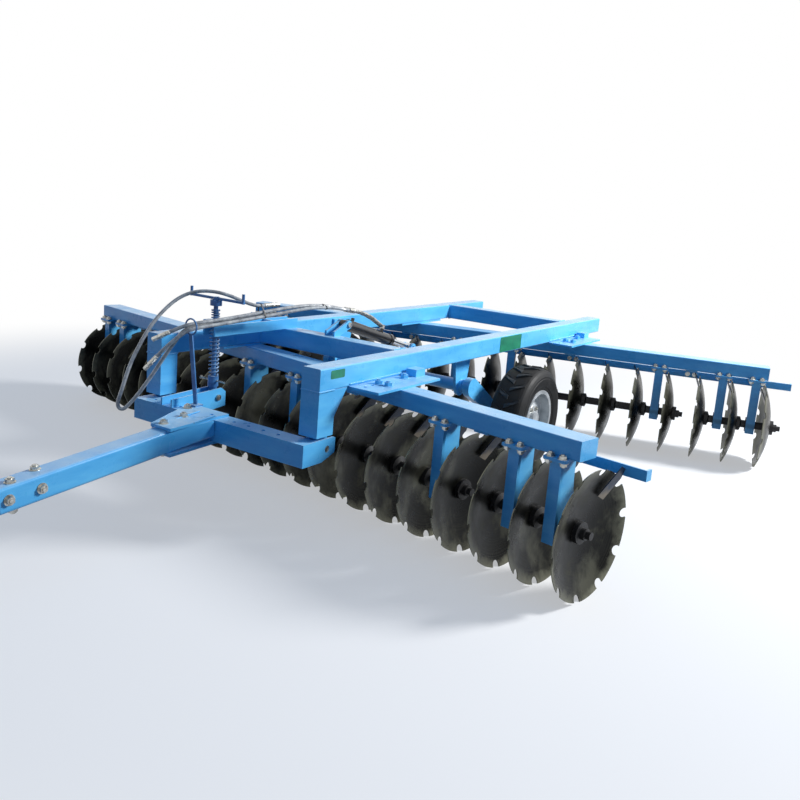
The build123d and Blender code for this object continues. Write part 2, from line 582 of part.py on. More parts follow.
# guide arm: two flat bars on the front cross tube carry the guide plate
ARM_GAP, ARM_T, ARM_H = 80.0, 12.0, GUIDE_LOW - FRAME_TOP
GUIDE_HOLE_R = 20.0
with BuildPart() as guide_arm:
    arm_front, arm_rear = LEVEL_Y - 50, FRONT_TUBE_Y + TUBE - 5
    for side in (-1, 1):
        with Locations((LEVEL_X + side * (ARM_GAP + ARM_T) / 2, (arm_front + arm_rear) / 2,
                        FRAME_TOP + ARM_H / 2)):
            Box(ARM_T, arm_rear - arm_front, ARM_H)
    with Locations((LEVEL_X, LEVEL_Y + 5, GUIDE_LOW + GUIDE_T / 2)):
        Box(ARM_GAP + 2 * ARM_T, 110, GUIDE_T)
    with BuildSketch(Plane((LEVEL_X, LEVEL_Y, GUIDE_LOW))):
        Circle(GUIDE_HOLE_R)
    extrude(amount=GUIDE_T, mode=Mode.SUBTRACT)
    with Locations((LEVEL_X, FRONT_TUBE_Y - 120, FRAME_TOP + ARM_H / 2)):
        Box(ARM_GAP, ARM_T, ARM_H)
finish(guide_arm, "guide_arm")

# Hose holder
HOLDER_FOOT = Vector(-245, 5, BAR_TOP + HEAD_PLATE_T)
HOLDER_TOP = Vector(-296, -5, 986)
HOLDER_W, HOLDER_T = 30.0, 8.0
RING_R, RING_WIRE = 46.0, 5.0
up = (HOLDER_TOP - HOLDER_FOOT).normalized()
with BuildPart() as hose_holder:
    with BuildSketch(Plane(origin=HOLDER_FOOT, x_dir=(1, 0, 0), z_dir=(0, 0, 1))):
        Rectangle(HOLDER_W, HOLDER_T)
    with BuildSketch(Plane(origin=HOLDER_TOP, x_dir=(1, 0, 0), z_dir=(0, 0, 1))):
        Rectangle(HOLDER_W, HOLDER_T)
    loft()
    with BuildSketch(Plane(origin=HOLDER_FOOT, x_dir=(1, 0, 0), z_dir=(0, 0, 1))):
        Rectangle(60, 60)
    extrude(amount=10)
    ring_mid = HOLDER_TOP + Vector(0, 0, RING_R - 2)
    with BuildSketch(Plane(origin=ring_mid, x_dir=(1, 0, 0), z_dir=(0, 0, 1))):
        with Locations((RING_R, 0)):
            Circle(RING_WIRE)
    revolve(axis=Axis(ring_mid, (0, 1, 0)))
finish(hose_holder, "hose_holder")

# Rockshaft
ROCK_Y, ROCK_Z, ROCK_R = 1750.0, 600.0, 44.5
ARM_X, ARM_W = 600.0, 50.0
TYRE_R = 380.0
WHEEL_X, WHEEL_Y, WHEEL_Z = 890.0, 2130.0, TYRE_R
STUB_R = 25.0
CRANK_GAP, CRANK_T = 60.0, 16.0
CRANK_Y, CRANK_Z = 1880.0, 780.0
ROCK_HANGER_T = 20.0

with BuildPart() as rockshaft:
    with BuildSketch(Plane.YZ.offset(-ARM_X)):
        with Locations((ROCK_Y, ROCK_Z)):
            Circle(ROCK_R)
    extrude(amount=2 * ARM_X)
finish(rockshaft, "rockshaft")

# trailing arms with the stub axles, against the ends of the shaft
with BuildPart() as wheel_arms:
    for side in (-1, 1):
        with BuildSketch(Plane.YZ.offset(side * ARM_X)):
            with Locations((ROCK_Y, ROCK_Z)):
                Circle(68)
            with Locations((WHEEL_Y, WHEEL_Z)):
                Circle(48)
            make_hull()
        extrude(amount=side * ARM_W)
        with BuildSketch(Plane.YZ.offset(side * (ARM_X + ARM_W))):
            with Locations((WHEEL_Y, WHEEL_Z)):
                Circle(STUB_R)
        extrude(amount=side * (WHEEL_X + 66 - ARM_X - ARM_W))
finish(wheel_arms, "wheel_arms")

# two plates in the middle of the shaft, which the lift cylinder pushes
with BuildPart() as lift_cranks:
    for side in (-1, 1):
        with BuildSketch(Plane.YZ.offset(side * CRANK_GAP / 2)):
            with Locations((ROCK_Y, ROCK_Z)):
                Circle(60)
            with Locations((CRANK_Y, CRANK_Z)):
                Circle(LUG_R)
            make_hull()
            with Locations((ROCK_Y, ROCK_Z)):
                Circle(ROCK_R, mode=Mode.SUBTRACT)
        extrude(amount=side * CRANK_T)
        with BuildSketch(Plane.YZ.offset(side * (CRANK_GAP / 2 + CRANK_T))):
            with Locations((CRANK_Y, CRANK_Z)):
                Circle(PIN_R + 6)
        extrude(amount=side * 12)
finish(lift_cranks, "lift_cranks")

with BuildPart() as rock_hangers:
    for side in (-1, 1):
        x0 = side * (FRAME_W / 2 - TUBE - ROCK_HANGER_T)
        with BuildSketch(Plane.YZ.offset(x0)):
            with BuildLine():
                Polyline((ROCK_Y - 110, FRAME_TOP - 15), (ROCK_Y + 110, FRAME_TOP - 15),
                         (ROCK_Y + 110, FRAME_LOW - 20), (ROCK_Y + 70, ROCK_Z), (ROCK_Y - 70, ROCK_Z),
                         (ROCK_Y - 110, FRAME_LOW - 20), close=True)
            make_face()
            with Locations((ROCK_Y, ROCK_Z)):
                Circle(72)
                Circle(ROCK_R + BEARING_FIT, mode=Mode.SUBTRACT)
        extrude(amount=side * ROCK_HANGER_T)
finish(rock_hangers, "rock_hangers")

# Wheels
TYRE_W, TREAD_W = 264.0, 200.0
RIM_R, RIM_FLANGE_R, RIM_W, RIM_T = 195.0, 215.0, 228.0, 6.0
HUB_OUT_R, HUB_L = 58.0, 124.0
LUGS, LUG_H, LUG_WIDE, LUG_LEAN = 18, 14.0, 34.0, 30.0
LUG_IN, LUG_OUT = -8.0, 96.0          # across the tread, from its middle line
LUG_SKEW = (LUG_OUT - LUG_IN) * tan(radians(LUG_LEAN))
LUG_SUNK = 16.0                       # how deep a lug's root stands in the carcass
CARCASS_R, BULGE_R, FACETS = TYRE_R - LUG_H, 282.0, 36



def across(side, x):
    """Plane square to a wheel's axle, at a distance x from the middle of its tyre."""
    return Plane(origin=(side * WHEEL_X + x, WHEEL_Y, WHEEL_Z), x_dir=(0, 1, 0), z_dir=(1, 0, 0))


for side, word in ((1, "left"), (-1, "right")):
    wheel = Plane(origin=(side * WHEEL_X, WHEEL_Y, WHEEL_Z), x_dir=(side, 0, 0), z_dir=(0, -side, 0))
    turn = Axis(wheel.origin, (1, 0, 0))
    with BuildPart() as tyre:
        half = RIM_W / 2 - RIM_T - PIN_FIT
        for x, r in ((-half, RIM_FLANGE_R + 3), (-TYRE_W / 2, BULGE_R), (-TREAD_W / 2, CARCASS_R),
                     (TREAD_W / 2, CARCASS_R), (TYRE_W / 2, BULGE_R), (half, RIM_FLANGE_R + 3)):
            with BuildSketch(across(side, x)):
                RegularPolygon(r, FACETS)
        loft(ruled=True)
        # two rows of leaning lugs, one row half a step behind the other
        for row in (1, -1):
            for k in range(LUGS):
                turned = Location(wheel.origin) * Location((0, 0, 0), (1, 0, 0), 360 / LUGS * (k + row / 4))
                foot = Plane((0, 0, CARCASS_R - LUG_SUNK))
                inner, outer = row * LUG_IN, row * LUG_OUT
                with BuildSketch(Plane(turned * foot.location)):
                    with BuildLine():
                        Polyline((inner, -(LUG_SKEW + LUG_WIDE) / 2), (outer, (LUG_SKEW - LUG_WIDE) / 2),
                                 (outer, (LUG_SKEW + LUG_WIDE) / 2), (inner, (LUG_WIDE - LUG_SKEW) / 2),
                                 close=True)
                    make_face()
                extrude(amount=LUG_SUNK + 2 * LUG_H)
        with BuildSketch(across(side, -TYRE_W / 2)):
            Circle(TYRE_R)
        extrude(amount=TYRE_W, mode=Mode.INTERSECT)
        with BuildSketch(across(side, -TYRE_W / 2)):
            Circle(RIM_R + PIN_FIT)
        extrude(amount=TYRE_W, mode=Mode.SUBTRACT)
    finish(tyre, f"tyre_{word}")
    with BuildPart() as rim:
        with BuildSketch(wheel):
            with BuildLine():
                h = RIM_W / 2
                Polyline((-h, RIM_R - RIM_T), (-h, RIM_FLANGE_R), (-h + RIM_T, RIM_FLANGE_R), (-h + RIM_T, RIM_R),
                         (h - RIM_T, RIM_R), (h - RIM_T, RIM_FLANGE_R), (h, RIM_FLANGE_R), (h, RIM_R - RIM_T),
                         (40, RIM_R - RIM_T), (52, 110), (HUB_L / 2 + 4, 92), (HUB_L / 2 + 4, HUB_OUT_R),
                         (HUB_L / 2 + 30, HUB_OUT_R - 8), (HUB_L / 2 + 30, 0), (HUB_L / 2 + 16, 0),
                         (HUB_L / 2 + 16, STUB_R + PIN_FIT), (-HUB_L / 2, STUB_R + PIN_FIT),
                         (-HUB_L / 2, HUB_OUT_R), (HUB_L / 2 - 8, HUB_OUT_R), (HUB_L / 2 - 8, 88), (44, 102),
                         (30, RIM_R - RIM_T), close=True)
            make_face()
        revolve(axis=turn)
    finish(rim, f"rim_{word}")

# Lift cylinder
lug_pin = Vector(0, LUG_PIN_Y, LUG_PIN_Z)
crank_pin = Vector(0, CRANK_Y, CRANK_Z)
thrust = (crank_pin - lug_pin).normalized()
lift_l = (crank_pin - lug_pin).length
lift_up = Vector(0, -thrust.Z, thrust.Y)
EYE_W, EYE_R = 44.0, 28.0
BARREL_R, BARREL_L = 40.0, 545.0
GLAND_R, GLAND_T = 45.0, 30.0
LIFT_ROD_R = 20.0
BORE_START = 100.0
PIPE_X = 18.0                         # the pipes run beside the middle of the barrel
PORTS = ((80.0, 0.0), (425.0, PIPE_X), (470.0, -PIPE_X))
PORT_R, PORT_TOP = 12.0, 58.0


def lift_plane(s):
    """Plane across the cylinder at a distance s from its front pin."""
    return Plane(origin=lug_pin + thrust * s, x_dir=(1, 0, 0), z_dir=thrust)


def port_plane(s, x, height):
    """Plane square to a port, at a height above the cylinder's middle line."""
    return Plane(origin=lug_pin + thrust * s + lift_up * height + Vector(x, 0, 0), x_dir=(1, 0, 0),
                 z_dir=lift_up)


with BuildPart() as lift_barrel:
    with BuildSketch(Plane.YZ.offset(-EYE_W / 2)):
        with Locations((LUG_PIN_Y, LUG_PIN_Z)):
            Circle(EYE_R)
    extrude(amount=EYE_W)
    with BuildSketch(lift_plane(18)):
        Circle(20)
    extrude(amount=22)
    with BuildSketch(lift_plane(36)):
        Circle(BARREL_R)
    extrude(amount=BARREL_L - 36)
    with BuildSketch(lift_plane(BARREL_L)):
        Circle(GLAND_R)
    extrude(amount=GLAND_T)
    for s, x in PORTS:
        with BuildSketch(port_plane(s, x, BARREL_R - 24)):
            Circle(PORT_R)
        extrude(amount=PORT_TOP - BARREL_R + 24)
    with BuildSketch(lift_plane(BARREL_L + GLAND_T)):
        Circle(LIFT_ROD_R + PIN_FIT)
    extrude(amount=-(BARREL_L + GLAND_T - BORE_START), mode=Mode.SUBTRACT)
    with BuildSketch(Plane.YZ.offset(-EYE_W)):
        with Locations((LUG_PIN_Y, LUG_PIN_Z)):
            Circle(PIN_R + PIN_FIT)
    extrude(amount=2 * EYE_W, mode=Mode.SUBTRACT)
finish(lift_barrel, "lift_barrel")

with BuildPart() as lift_rod:
    with BuildSketch(lift_plane(190)):
        Circle(LIFT_ROD_R)
    extrude(amount=lift_l - 190 - 10)
    with BuildSketch(Plane.YZ.offset(-EYE_W / 2)):
        with Locations((CRANK_Y, CRANK_Z)):
            Circle(EYE_R)
    extrude(amount=EYE_W)
    with BuildSketch(Plane.YZ.offset(-EYE_W / 2 - 5)):
        with Locations((CRANK_Y, CRANK_Z)):
            Circle(PIN_R)
    extrude(amount=EYE_W + 10)
finish(lift_rod, "lift_rod")

with BuildPart() as lift_pin:
    reach = LUG_GAP / 2 + LUG_T
    for x0, x1, r in ((-reach - 12, reach + 12, PIN_R), (-reach - 12, -reach - PIN_FIT, PIN_R + 6),
                      (reach + PIN_FIT, reach + 12, PIN_R + 6)):
        with BuildSketch(Plane.YZ.offset(x0)):
            with Locations((LUG_PIN_Y, LUG_PIN_Z)):
                Circle(r)
        extrude(amount=x1 - x0)
finish(lift_pin, "lift_pin")

# Hoses
# Three hydraulic hoses lie in a bundle from the lift cylinder's pipes to the ring on
# the holder. Two end just in front of it in couplers. The third is a spare link: it
# starts at the tie on the bundle, goes through the ring, hangs down to a fold in front
# of the cross member and comes back over the levelling handle to the tie.
HOSE_R = 11.0
COUPLER_R, COUPLER_L, FERRULE_R, FERRULE_L = 16.0, 62.0, 14.0, 48.0
SLEEVE_R, SLEEVE_L = 17.0, 55.0
ELBOW_R, ELBOW_H = 15.0, 28.0


def hose_path(points):
    """Fillet radii for the corners: 0.45 of the shorter run over tan of half the turn."""
    runs = [Vector(*b) - Vector(*a) for a, b in zip(points, points[1:])]
    radii = []
    for one, two in zip(runs, runs[1:]):
        turn = radians(one.get_angle(two))
        radii.append(0.45 * min(one.length, two.length) / tan(turn / 2))
    return radii


def tube_along(points):
    """A round tube along straight runs joined by arcs, and its length."""
    with BuildPart() as tube:
        with BuildLine() as line:
            FilletPolyline(*points, radius=hose_path(points))
        with BuildSketch(Plane(origin=points[0], z_dir=Vector(*points[1]) - Vector(*points[0]))):
            Circle(HOSE_R)
        sweep(path=line.line)
    return tube, sum(edge.length for edge in line.line.edges())


def hose(points, name):
    tube, length = tube_along(points)
    print(name, "radii", [round(r) for r in hose_path(points)], "length", round(length),
          "volume against section times length", round(tube.part.volume / (pi * HOSE_R ** 2 * length), 4))
    finish(tube, name)


# two pipes on the cylinder lead from the hoses' ends above the lugs to its rear ports
PIPE_FRONT = (1085.0, 1106.0)
PIPE_A = (PIPE_FRONT, (1190, 1090), (1300, 1061), (1385, 1028), (1465, 988))
PIPE_B = (PIPE_FRONT, (1185, 1092), (1285, 1066), (1360, 1037), (1425, 1002))

with BuildPart() as cylinder_pipes:
    for route, (s, x) in ((PIPE_B, PORTS[1]), (PIPE_A, PORTS[2])):
        elbow = port_plane(s, x, PORT_TOP)
        end = elbow.origin + lift_up * ELBOW_H / 2
        points = [(x, y, z) for y, z in route] + [tuple(end)]
        add(tube_along(points)[0].part)
        with BuildSketch(Plane(origin=points[0], z_dir=Vector(*points[1]) - Vector(*points[0]))):
            Circle(SLEEVE_R)
        extrude(amount=SLEEVE_L)
        with BuildSketch(elbow):
            Circle(ELBOW_R)
        extrude(amount=ELBOW_H)
finish(cylinder_pipes, "cylinder_pipes")

HOSE_STRAIGHT = 50.0


def pipe_end(x, route):
    """The front end of a pipe, and a point straight ahead of it."""
    end, after = Vector(x, *route[0]), Vector(x, *route[1])
    return tuple(end), tuple(end + (end - after).normalized() * HOSE_STRAIGHT)


# points from the pipes to the couplers under the ring; the third hose hangs in a loop
HOSE_A = (*pipe_end(-PIPE_X, PIPE_A), (-46, 958, 1131), (-91, 800, 1140), (-134, 640, 1127),
          (-177, 470, 1103), (-217, 310, 1081), (-253, 160, 1063), (-293, -5, 1048), (-337, -56, 1022),
          (-378, -90, 994))
HOSE_B = (*pipe_end(PIPE_X, PIPE_B), (-19, 950, 1126), (-70, 795, 1126), (-117, 635, 1103),
          (-160, 465, 1079), (-200, 308, 1058), (-237, 158, 1041), (-278, -5, 1022), (-300, -36, 1004),
          (-332, -74, 966), (-386, -108, 906), (-428, -134, 848))
HOSE_C = ((-204, 480, 1076), (-222, 385, 1064), (-244, 270, 1050), (-268, 135, 1036), (-306, -6, 1021),
          (-333, -34, 1001), (-372, -54, 935), (-416, -72, 866), (-462, -98, 776), (-513, -130, 680),
          (-562, -160, 592), (-601, -184, 536), (-627, -203, 500), (-648, -224, 506), (-652, -230, 542),
          (-640, -214, 606), (-633, -190, 690), (-626, -160, 780), (-616, -110, 880), (-602, -50, 985),
          (-583, 28, 1080), (-551, 104, 1154), (-504, 165, 1196), (-440, 208, 1214), (-370, 258, 1214),
          (-310, 305, 1197), (-262, 352, 1172), (-226, 400, 1150), (-204, 440, 1140), (-192, 490, 1142))

hose(HOSE_A, "hose_a")
hose(HOSE_B, "hose_b")
hose(HOSE_C, "hose_c")


def coupler(a, b):
    """A ferrule and a hexagon body beyond the end b of a hose that comes from a."""
    end = Plane(origin=b, z_dir=Vector(*b) - Vector(*a))
    with BuildPart() as body:
        with BuildSketch(end):
            Circle(FERRULE_R)
        extrude(amount=FERRULE_L)
        with BuildSketch(end.offset(FERRULE_L)):
            RegularPolygon(COUPLER_R, 6)
        extrude(amount=COUPLER_L)
    return body.part


with BuildPart() as ring_couplers:
    add(coupler(HOSE_A[-2], HOSE_A[-1]))
    add(coupler(HOSE_B[-2], HOSE_B[-1]))
finish(ring_couplers, "ring_couplers")

with BuildPart() as tie_couplers:
    add(coupler(HOSE_C[1], HOSE_C[0]))
    add(coupler(HOSE_C[-2], HOSE_C[-1]))
finish(tie_couplers, "tie_couplers")
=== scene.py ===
"""Looks for a trailed offset disc harrow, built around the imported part.

Metres, Z up, Y towards the rear, X towards the machine's left side. Places are counted
from the middle of the main frame, its front ends and the ground, as at() turns them
into the part's own axes.
"""

import json
from math import cos, pi, radians, sin, tan

import bmesh
import bpy
from mathutils import Matrix, Vector


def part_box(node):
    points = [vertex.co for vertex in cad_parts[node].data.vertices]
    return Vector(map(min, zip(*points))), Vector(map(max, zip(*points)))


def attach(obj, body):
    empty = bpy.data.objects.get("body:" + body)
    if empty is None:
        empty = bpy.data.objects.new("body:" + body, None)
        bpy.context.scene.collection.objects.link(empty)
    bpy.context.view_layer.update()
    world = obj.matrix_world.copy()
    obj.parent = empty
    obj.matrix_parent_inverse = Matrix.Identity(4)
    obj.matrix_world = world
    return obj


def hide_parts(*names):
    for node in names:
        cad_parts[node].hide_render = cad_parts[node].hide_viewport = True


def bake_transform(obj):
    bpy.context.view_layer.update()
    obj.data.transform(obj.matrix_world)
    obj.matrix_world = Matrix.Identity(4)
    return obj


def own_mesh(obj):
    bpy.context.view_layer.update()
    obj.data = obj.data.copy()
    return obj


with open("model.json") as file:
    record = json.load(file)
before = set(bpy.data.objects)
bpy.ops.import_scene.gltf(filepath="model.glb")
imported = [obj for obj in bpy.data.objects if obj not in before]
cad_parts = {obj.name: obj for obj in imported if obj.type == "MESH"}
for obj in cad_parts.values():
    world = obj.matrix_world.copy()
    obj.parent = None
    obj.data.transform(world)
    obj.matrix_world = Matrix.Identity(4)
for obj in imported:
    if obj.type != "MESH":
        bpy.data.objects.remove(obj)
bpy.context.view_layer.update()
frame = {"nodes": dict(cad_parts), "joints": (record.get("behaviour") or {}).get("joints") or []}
nodes = frame["nodes"]
scene = bpy.context.scene


# Floor, lights and camera
# The machine stands on a pale studio floor under one wide soft lamp above its left rear,
# with a weak one in front. The camera looks down on the near front corner, as in the
# photograph.
frame_low, frame_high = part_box("longitudinals")
ORIGIN = Vector(((frame_low.x + frame_high.x) / 2, frame_low.y, 0))
FLOOR_HALF, FLOOR_ROUGH, FLOOR_SHINE = 30.0, 0.9, 0.1
FLOOR_PALE, FLOOR_BOUNCE = 0.84, 0.20                  # as seen, and for the light it throws back
FADE_FROM, FADE_TO, FLOOR_GLOW = 3.2, 6.5, 0.45        # the floor turns into the white backdrop
CAMERA_AT = (3.3096, -3.3061, 1.805)
CAMERA_AZIMUTH, CAMERA_FALL, CAMERA_ROLL = radians(32.68), radians(10.27), radians(4.69)
FOCUS_PX, MIDDLE_X_PX, MIDDLE_Y_PX, IMAGE_PX = 826.5, 405.47, 358.13, 800
SENSOR = 36.0
KEY_AT, KEY_SIZE, KEY_POWER = (6.6, 6.0, 5.6), 2.4, 1230.0
FILL_AT, FILL_SIZE, FILL_POWER = (-1.0, -7.0, 3.4), 5.0, 8.0
LAMPS_AIM = (0, 1.6, 0.5)
SKY_COLOUR, SKY_STRENGTH = (0.22, 0.52, 1.0), 0.32


def at(x, y, z):
    """A place counted from the frame's middle, its front ends and the ground."""
    return ORIGIN + Vector((x, y, z))


def placed(name, data):
    """A new object in the scene."""
    thing = bpy.data.objects.new(name, data)
    scene.collection.objects.link(thing)
    return thing


def finish_named(name):
    """A new material, with its tree and its main shader."""
    material = bpy.data.materials.new(name)
    material.use_nodes = True
    return material, material.node_tree, material.node_tree.nodes["Principled BSDF"]


def sums(tree, operation, a, b):
    """A Math node on sockets or numbers."""
    node = tree.nodes.new("ShaderNodeMath")
    node.operation = operation
    for socket, value in zip(node.inputs, (a, b)):
        if isinstance(value, (int, float)):
            socket.default_value = value
        else:
            tree.links.new(value, socket)
    return node.outputs[0]


def vectors(tree, operation, a, b=None):
    """A Vector Math node on sockets or fixed vectors."""
    node = tree.nodes.new("ShaderNodeVectorMath")
    node.operation = operation
    for socket, value in zip(node.inputs, (a, b)):
        if isinstance(value, Vector):
            socket.default_value = value
        elif value is not None:
            tree.links.new(value, socket)
    return node.outputs["Value" if operation in ("LENGTH", "DOT_PRODUCT") else "Vector"]


def own_place(tree):
    """Where a point is on its own piece."""
    return tree.nodes.new("ShaderNodeTexCoord").outputs["Object"]


def seen_directly(tree):
    """1 for the camera, for reflections and through glass."""
    rays = tree.nodes.new("ShaderNodeLightPath").outputs
    direct = sums(tree, "MAXIMUM", rays["Is Camera Ray"], rays["Is Glossy Ray"])
    return sums(tree, "MAXIMUM", direct, rays["Is Transmission Ray"])


def mixed(tree, amount, below, over):
    """Two shaders mixed by a value."""
    mix = tree.nodes.new("ShaderNodeMixShader")
    for socket, value in zip(mix.inputs, (amount, below.outputs[0], over.outputs[0])):
        tree.links.new(value, socket)
    return mix.outputs[0]


scene.view_settings.view_transform = "Standard"
world = bpy.data.worlds.new("studio")
world.use_nodes = True
sky_tree = world.node_tree
sky_tree.nodes.clear()
sky, backdrop = sky_tree.nodes.new("ShaderNodeBackground"), sky_tree.nodes.new("ShaderNodeBackground")
sky.inputs["Color"].default_value, sky.inputs["Strength"].default_value = (*SKY_COLOUR, 1), SKY_STRENGTH
backdrop.inputs["Color"].default_value = (1, 1, 1, 1)
sky_tree.links.new(mixed(sky_tree, seen_directly(sky_tree), sky, backdrop),
                   sky_tree.nodes.new("ShaderNodeOutputWorld").inputs["Surface"])
scene.world = world

floor_mesh = bpy.data.meshes.new("floor")
floor_mesh.from_pydata([(x * FLOOR_HALF, y * FLOOR_HALF, 0) for x, y in ((-1, -1), (1, -1), (1, 1), (-1, 1))],
                       [], [(0, 1, 2, 3)])
floor = placed("floor", floor_mesh)
floor_paint, floor_tree, matt = finish_named("floor")
matt.inputs["Roughness"].default_value = FLOOR_ROUGH
matt.inputs["Specular IOR Level"].default_value = FLOOR_SHINE
tone = floor_tree.nodes.new("ShaderNodeMapRange")
tone.inputs["To Min"].default_value, tone.inputs["To Max"].default_value = FLOOR_BOUNCE, FLOOR_PALE
floor_tree.links.new(seen_directly(floor_tree), tone.inputs["Value"])
floor_tree.links.new(tone.outputs["Result"], matt.inputs["Base Color"])
fade = floor_tree.nodes.new("ShaderNodeMapRange")
fade.interpolation_type = "SMOOTHSTEP"
fade.inputs["From Min"].default_value, fade.inputs["From Max"].default_value = FADE_FROM, FADE_TO
fade.inputs["To Min"].default_value = FLOOR_GLOW
floor_tree.links.new(vectors(floor_tree, "LENGTH", own_place(floor_tree)), fade.inputs["Value"])
white_out = sums(floor_tree, "MULTIPLY", fade.outputs["Result"], seen_directly(floor_tree))
floor_tree.links.new(mixed(floor_tree, white_out, matt, floor_tree.nodes.new("ShaderNodeEmission")),
                     floor_tree.nodes["Material Output"].inputs["Surface"])
floor_mesh.materials.append(floor_paint)


def soft_lamp(name, place, size, power):
    lamp = bpy.data.lights.new(name, "AREA")
    lamp.shape, lamp.size, lamp.energy = "DISK", size, power
    holder = placed(name, lamp)
    holder.location = at(*place)
    holder.rotation_euler = (at(*LAMPS_AIM) - at(*place)).to_track_quat("-Z", "Y").to_euler()


soft_lamp("key", KEY_AT, KEY_SIZE, KEY_POWER)
soft_lamp("fill", FILL_AT, FILL_SIZE, FILL_POWER)

forward = Vector((-sin(CAMERA_AZIMUTH) * cos(CAMERA_FALL), cos(CAMERA_AZIMUTH) * cos(CAMERA_FALL),
                  -sin(CAMERA_FALL)))
level = Vector((cos(CAMERA_AZIMUTH), sin(CAMERA_AZIMUTH), 0))
upward = level.cross(forward)
right = cos(CAMERA_ROLL) * level + sin(CAMERA_ROLL) * upward
above = -sin(CAMERA_ROLL) * level + cos(CAMERA_ROLL) * upward
view = Matrix((right, above, -forward)).transposed().to_4x4()
lens = bpy.data.cameras.new("camera")
lens.sensor_width = SENSOR
lens.lens = SENSOR * FOCUS_PX / IMAGE_PX
lens.shift_x = (IMAGE_PX / 2 - MIDDLE_X_PX) / IMAGE_PX
lens.shift_y = (MIDDLE_Y_PX - IMAGE_PX / 2) / IMAGE_PX
camera = placed("camera", lens)
camera.matrix_world = Matrix.Translation(at(*CAMERA_AT)) @ view
scene.camera = camera


# Painted steelwork
# The frame, beams, drawbar, hangers and arms are welded square tube and plate in one
# coat of sky blue enamel. It is chipped along sharp edges, which are paler from thin
# paint and a painted highlight, and its flat tops carry patches of painted pale glare.
PAINT, PAINT_DEEP, PAINT_PALE = (92, 184, 238), (80, 174, 232), (108, 198, 244)
# The second colour is a painted pale glare for the flat tops.
PRIMER, TOP_GLARE = (96, 90, 84), (206, 230, 240)
# The edge amount sets how far sharp edges turn pale, from thin paint and a painted highlight.
EDGE_ROUND, EDGE_THIN_AND_HIGHLIGHT = 0.004, 0.45
BRUSHED = (1.0, 1.0, 5.0)              # noise squeezed upright, so that its streaks lie level


def linear(colour):
    """A colour of 0 to 255 in the linear values that a shader takes."""
    return tuple((c / 255 / 12.92) if c <= 10 else ((c / 255 + 0.055) / 1.055) ** 2.4
                 for c in colour) + (1.0,)


def noise(tree, scale, detail=3.0, rough=0.5, stretch=None):
    """Noise on the piece's own coordinates, which may be stretched."""
    source = own_place(tree)
    if stretch:
        mapping = tree.nodes.new("ShaderNodeMapping")
        mapping.inputs["Scale"].default_value = stretch
        tree.links.new(source, mapping.inputs["Vector"])
        source = mapping.outputs[0]
    texture = tree.nodes.new("ShaderNodeTexNoise")
    texture.inputs["Scale"].default_value = scale
    texture.inputs["Detail"].default_value = detail
    texture.inputs["Roughness"].default_value = rough
    tree.links.new(source, texture.inputs["Vector"])
    return texture.outputs["Fac"]


def ramp(tree, value, *stops):
    """A colour or grey ramp: stops are (place, colour or grey)."""
    node = tree.nodes.new("ShaderNodeValToRGB")
    points = node.color_ramp.elements
    while len(points) < len(stops):
        points.new(0.5)
    for point, (place, colour) in zip(points, stops):
        point.position = place
        point.color = linear(colour) if isinstance(colour, tuple) else (colour, colour, colour, 1)
    tree.links.new(value, node.inputs["Fac"])
    return node.outputs["Color"]


def blended(tree, amount, below, over):
    """Two colours mixed by a grey value; a colour may be a socket or 0 to 255 values."""
    node = tree.nodes.new("ShaderNodeMix")
    node.data_type = "RGBA"
    tree.links.new(amount, node.inputs["Factor"])
    for socket, colour in ((node.inputs["A"], below), (node.inputs["B"], over)):
        if isinstance(colour, tuple):
            socket.default_value = linear(colour)
        else:
            tree.links.new(colour, socket)
    return node.outputs["Result"]


def dented(tree, surface, height, strength, distance):
    """Bump from a height, into the shader's normal."""
    node = tree.nodes.new("ShaderNodeBump")
    node.inputs["Strength"].default_value = strength
    node.inputs["Distance"].default_value = distance
    tree.links.new(height, node.inputs["Height"])
    tree.links.new(node.outputs[0], surface.inputs["Normal"])


def worn_edge(tree, radius):
    """1 along sharp edges and 0 on flat faces."""
    bevel = tree.nodes.new("ShaderNodeBevel")
    bevel.samples = 4
    bevel.inputs["Radius"].default_value = radius
    flat = tree.nodes.new("ShaderNodeNewGeometry").outputs["Normal"]
    alike = vectors(tree, "DOT_PRODUCT", bevel.outputs[0], flat)
    return ramp(tree, sums(tree, "SUBTRACT", 1.0, alike), (0.008, 0.0), (0.05, 1.0))


def facing_up(tree):
    """1 on faces that look at the sky."""
    parts = tree.nodes.new("ShaderNodeSeparateXYZ")
    tree.links.new(tree.nodes.new("ShaderNodeNewGeometry").outputs["Normal"], parts.inputs[0])
    return ramp(tree, parts.outputs["Z"], (0.6, 0.0), (0.95, 1.0))


def brushed_coat(tree, base, deep, pale):
    """Paint in level streaks, paler along sharp edges from thin paint and a painted highlight, and those edges."""
    streaks = noise(tree, 3.0, 4.0, 0.6, stretch=BRUSHED)
    coat = ramp(tree, streaks, (0.3, deep), (0.5, base), (0.75, pale))
    edge = worn_edge(tree, EDGE_ROUND)
    # The edges are paler from thin paint and a painted highlight.
    return blended(tree, sums(tree, "MULTIPLY", edge, EDGE_THIN_AND_HIGHLIGHT), coat, pale), edge


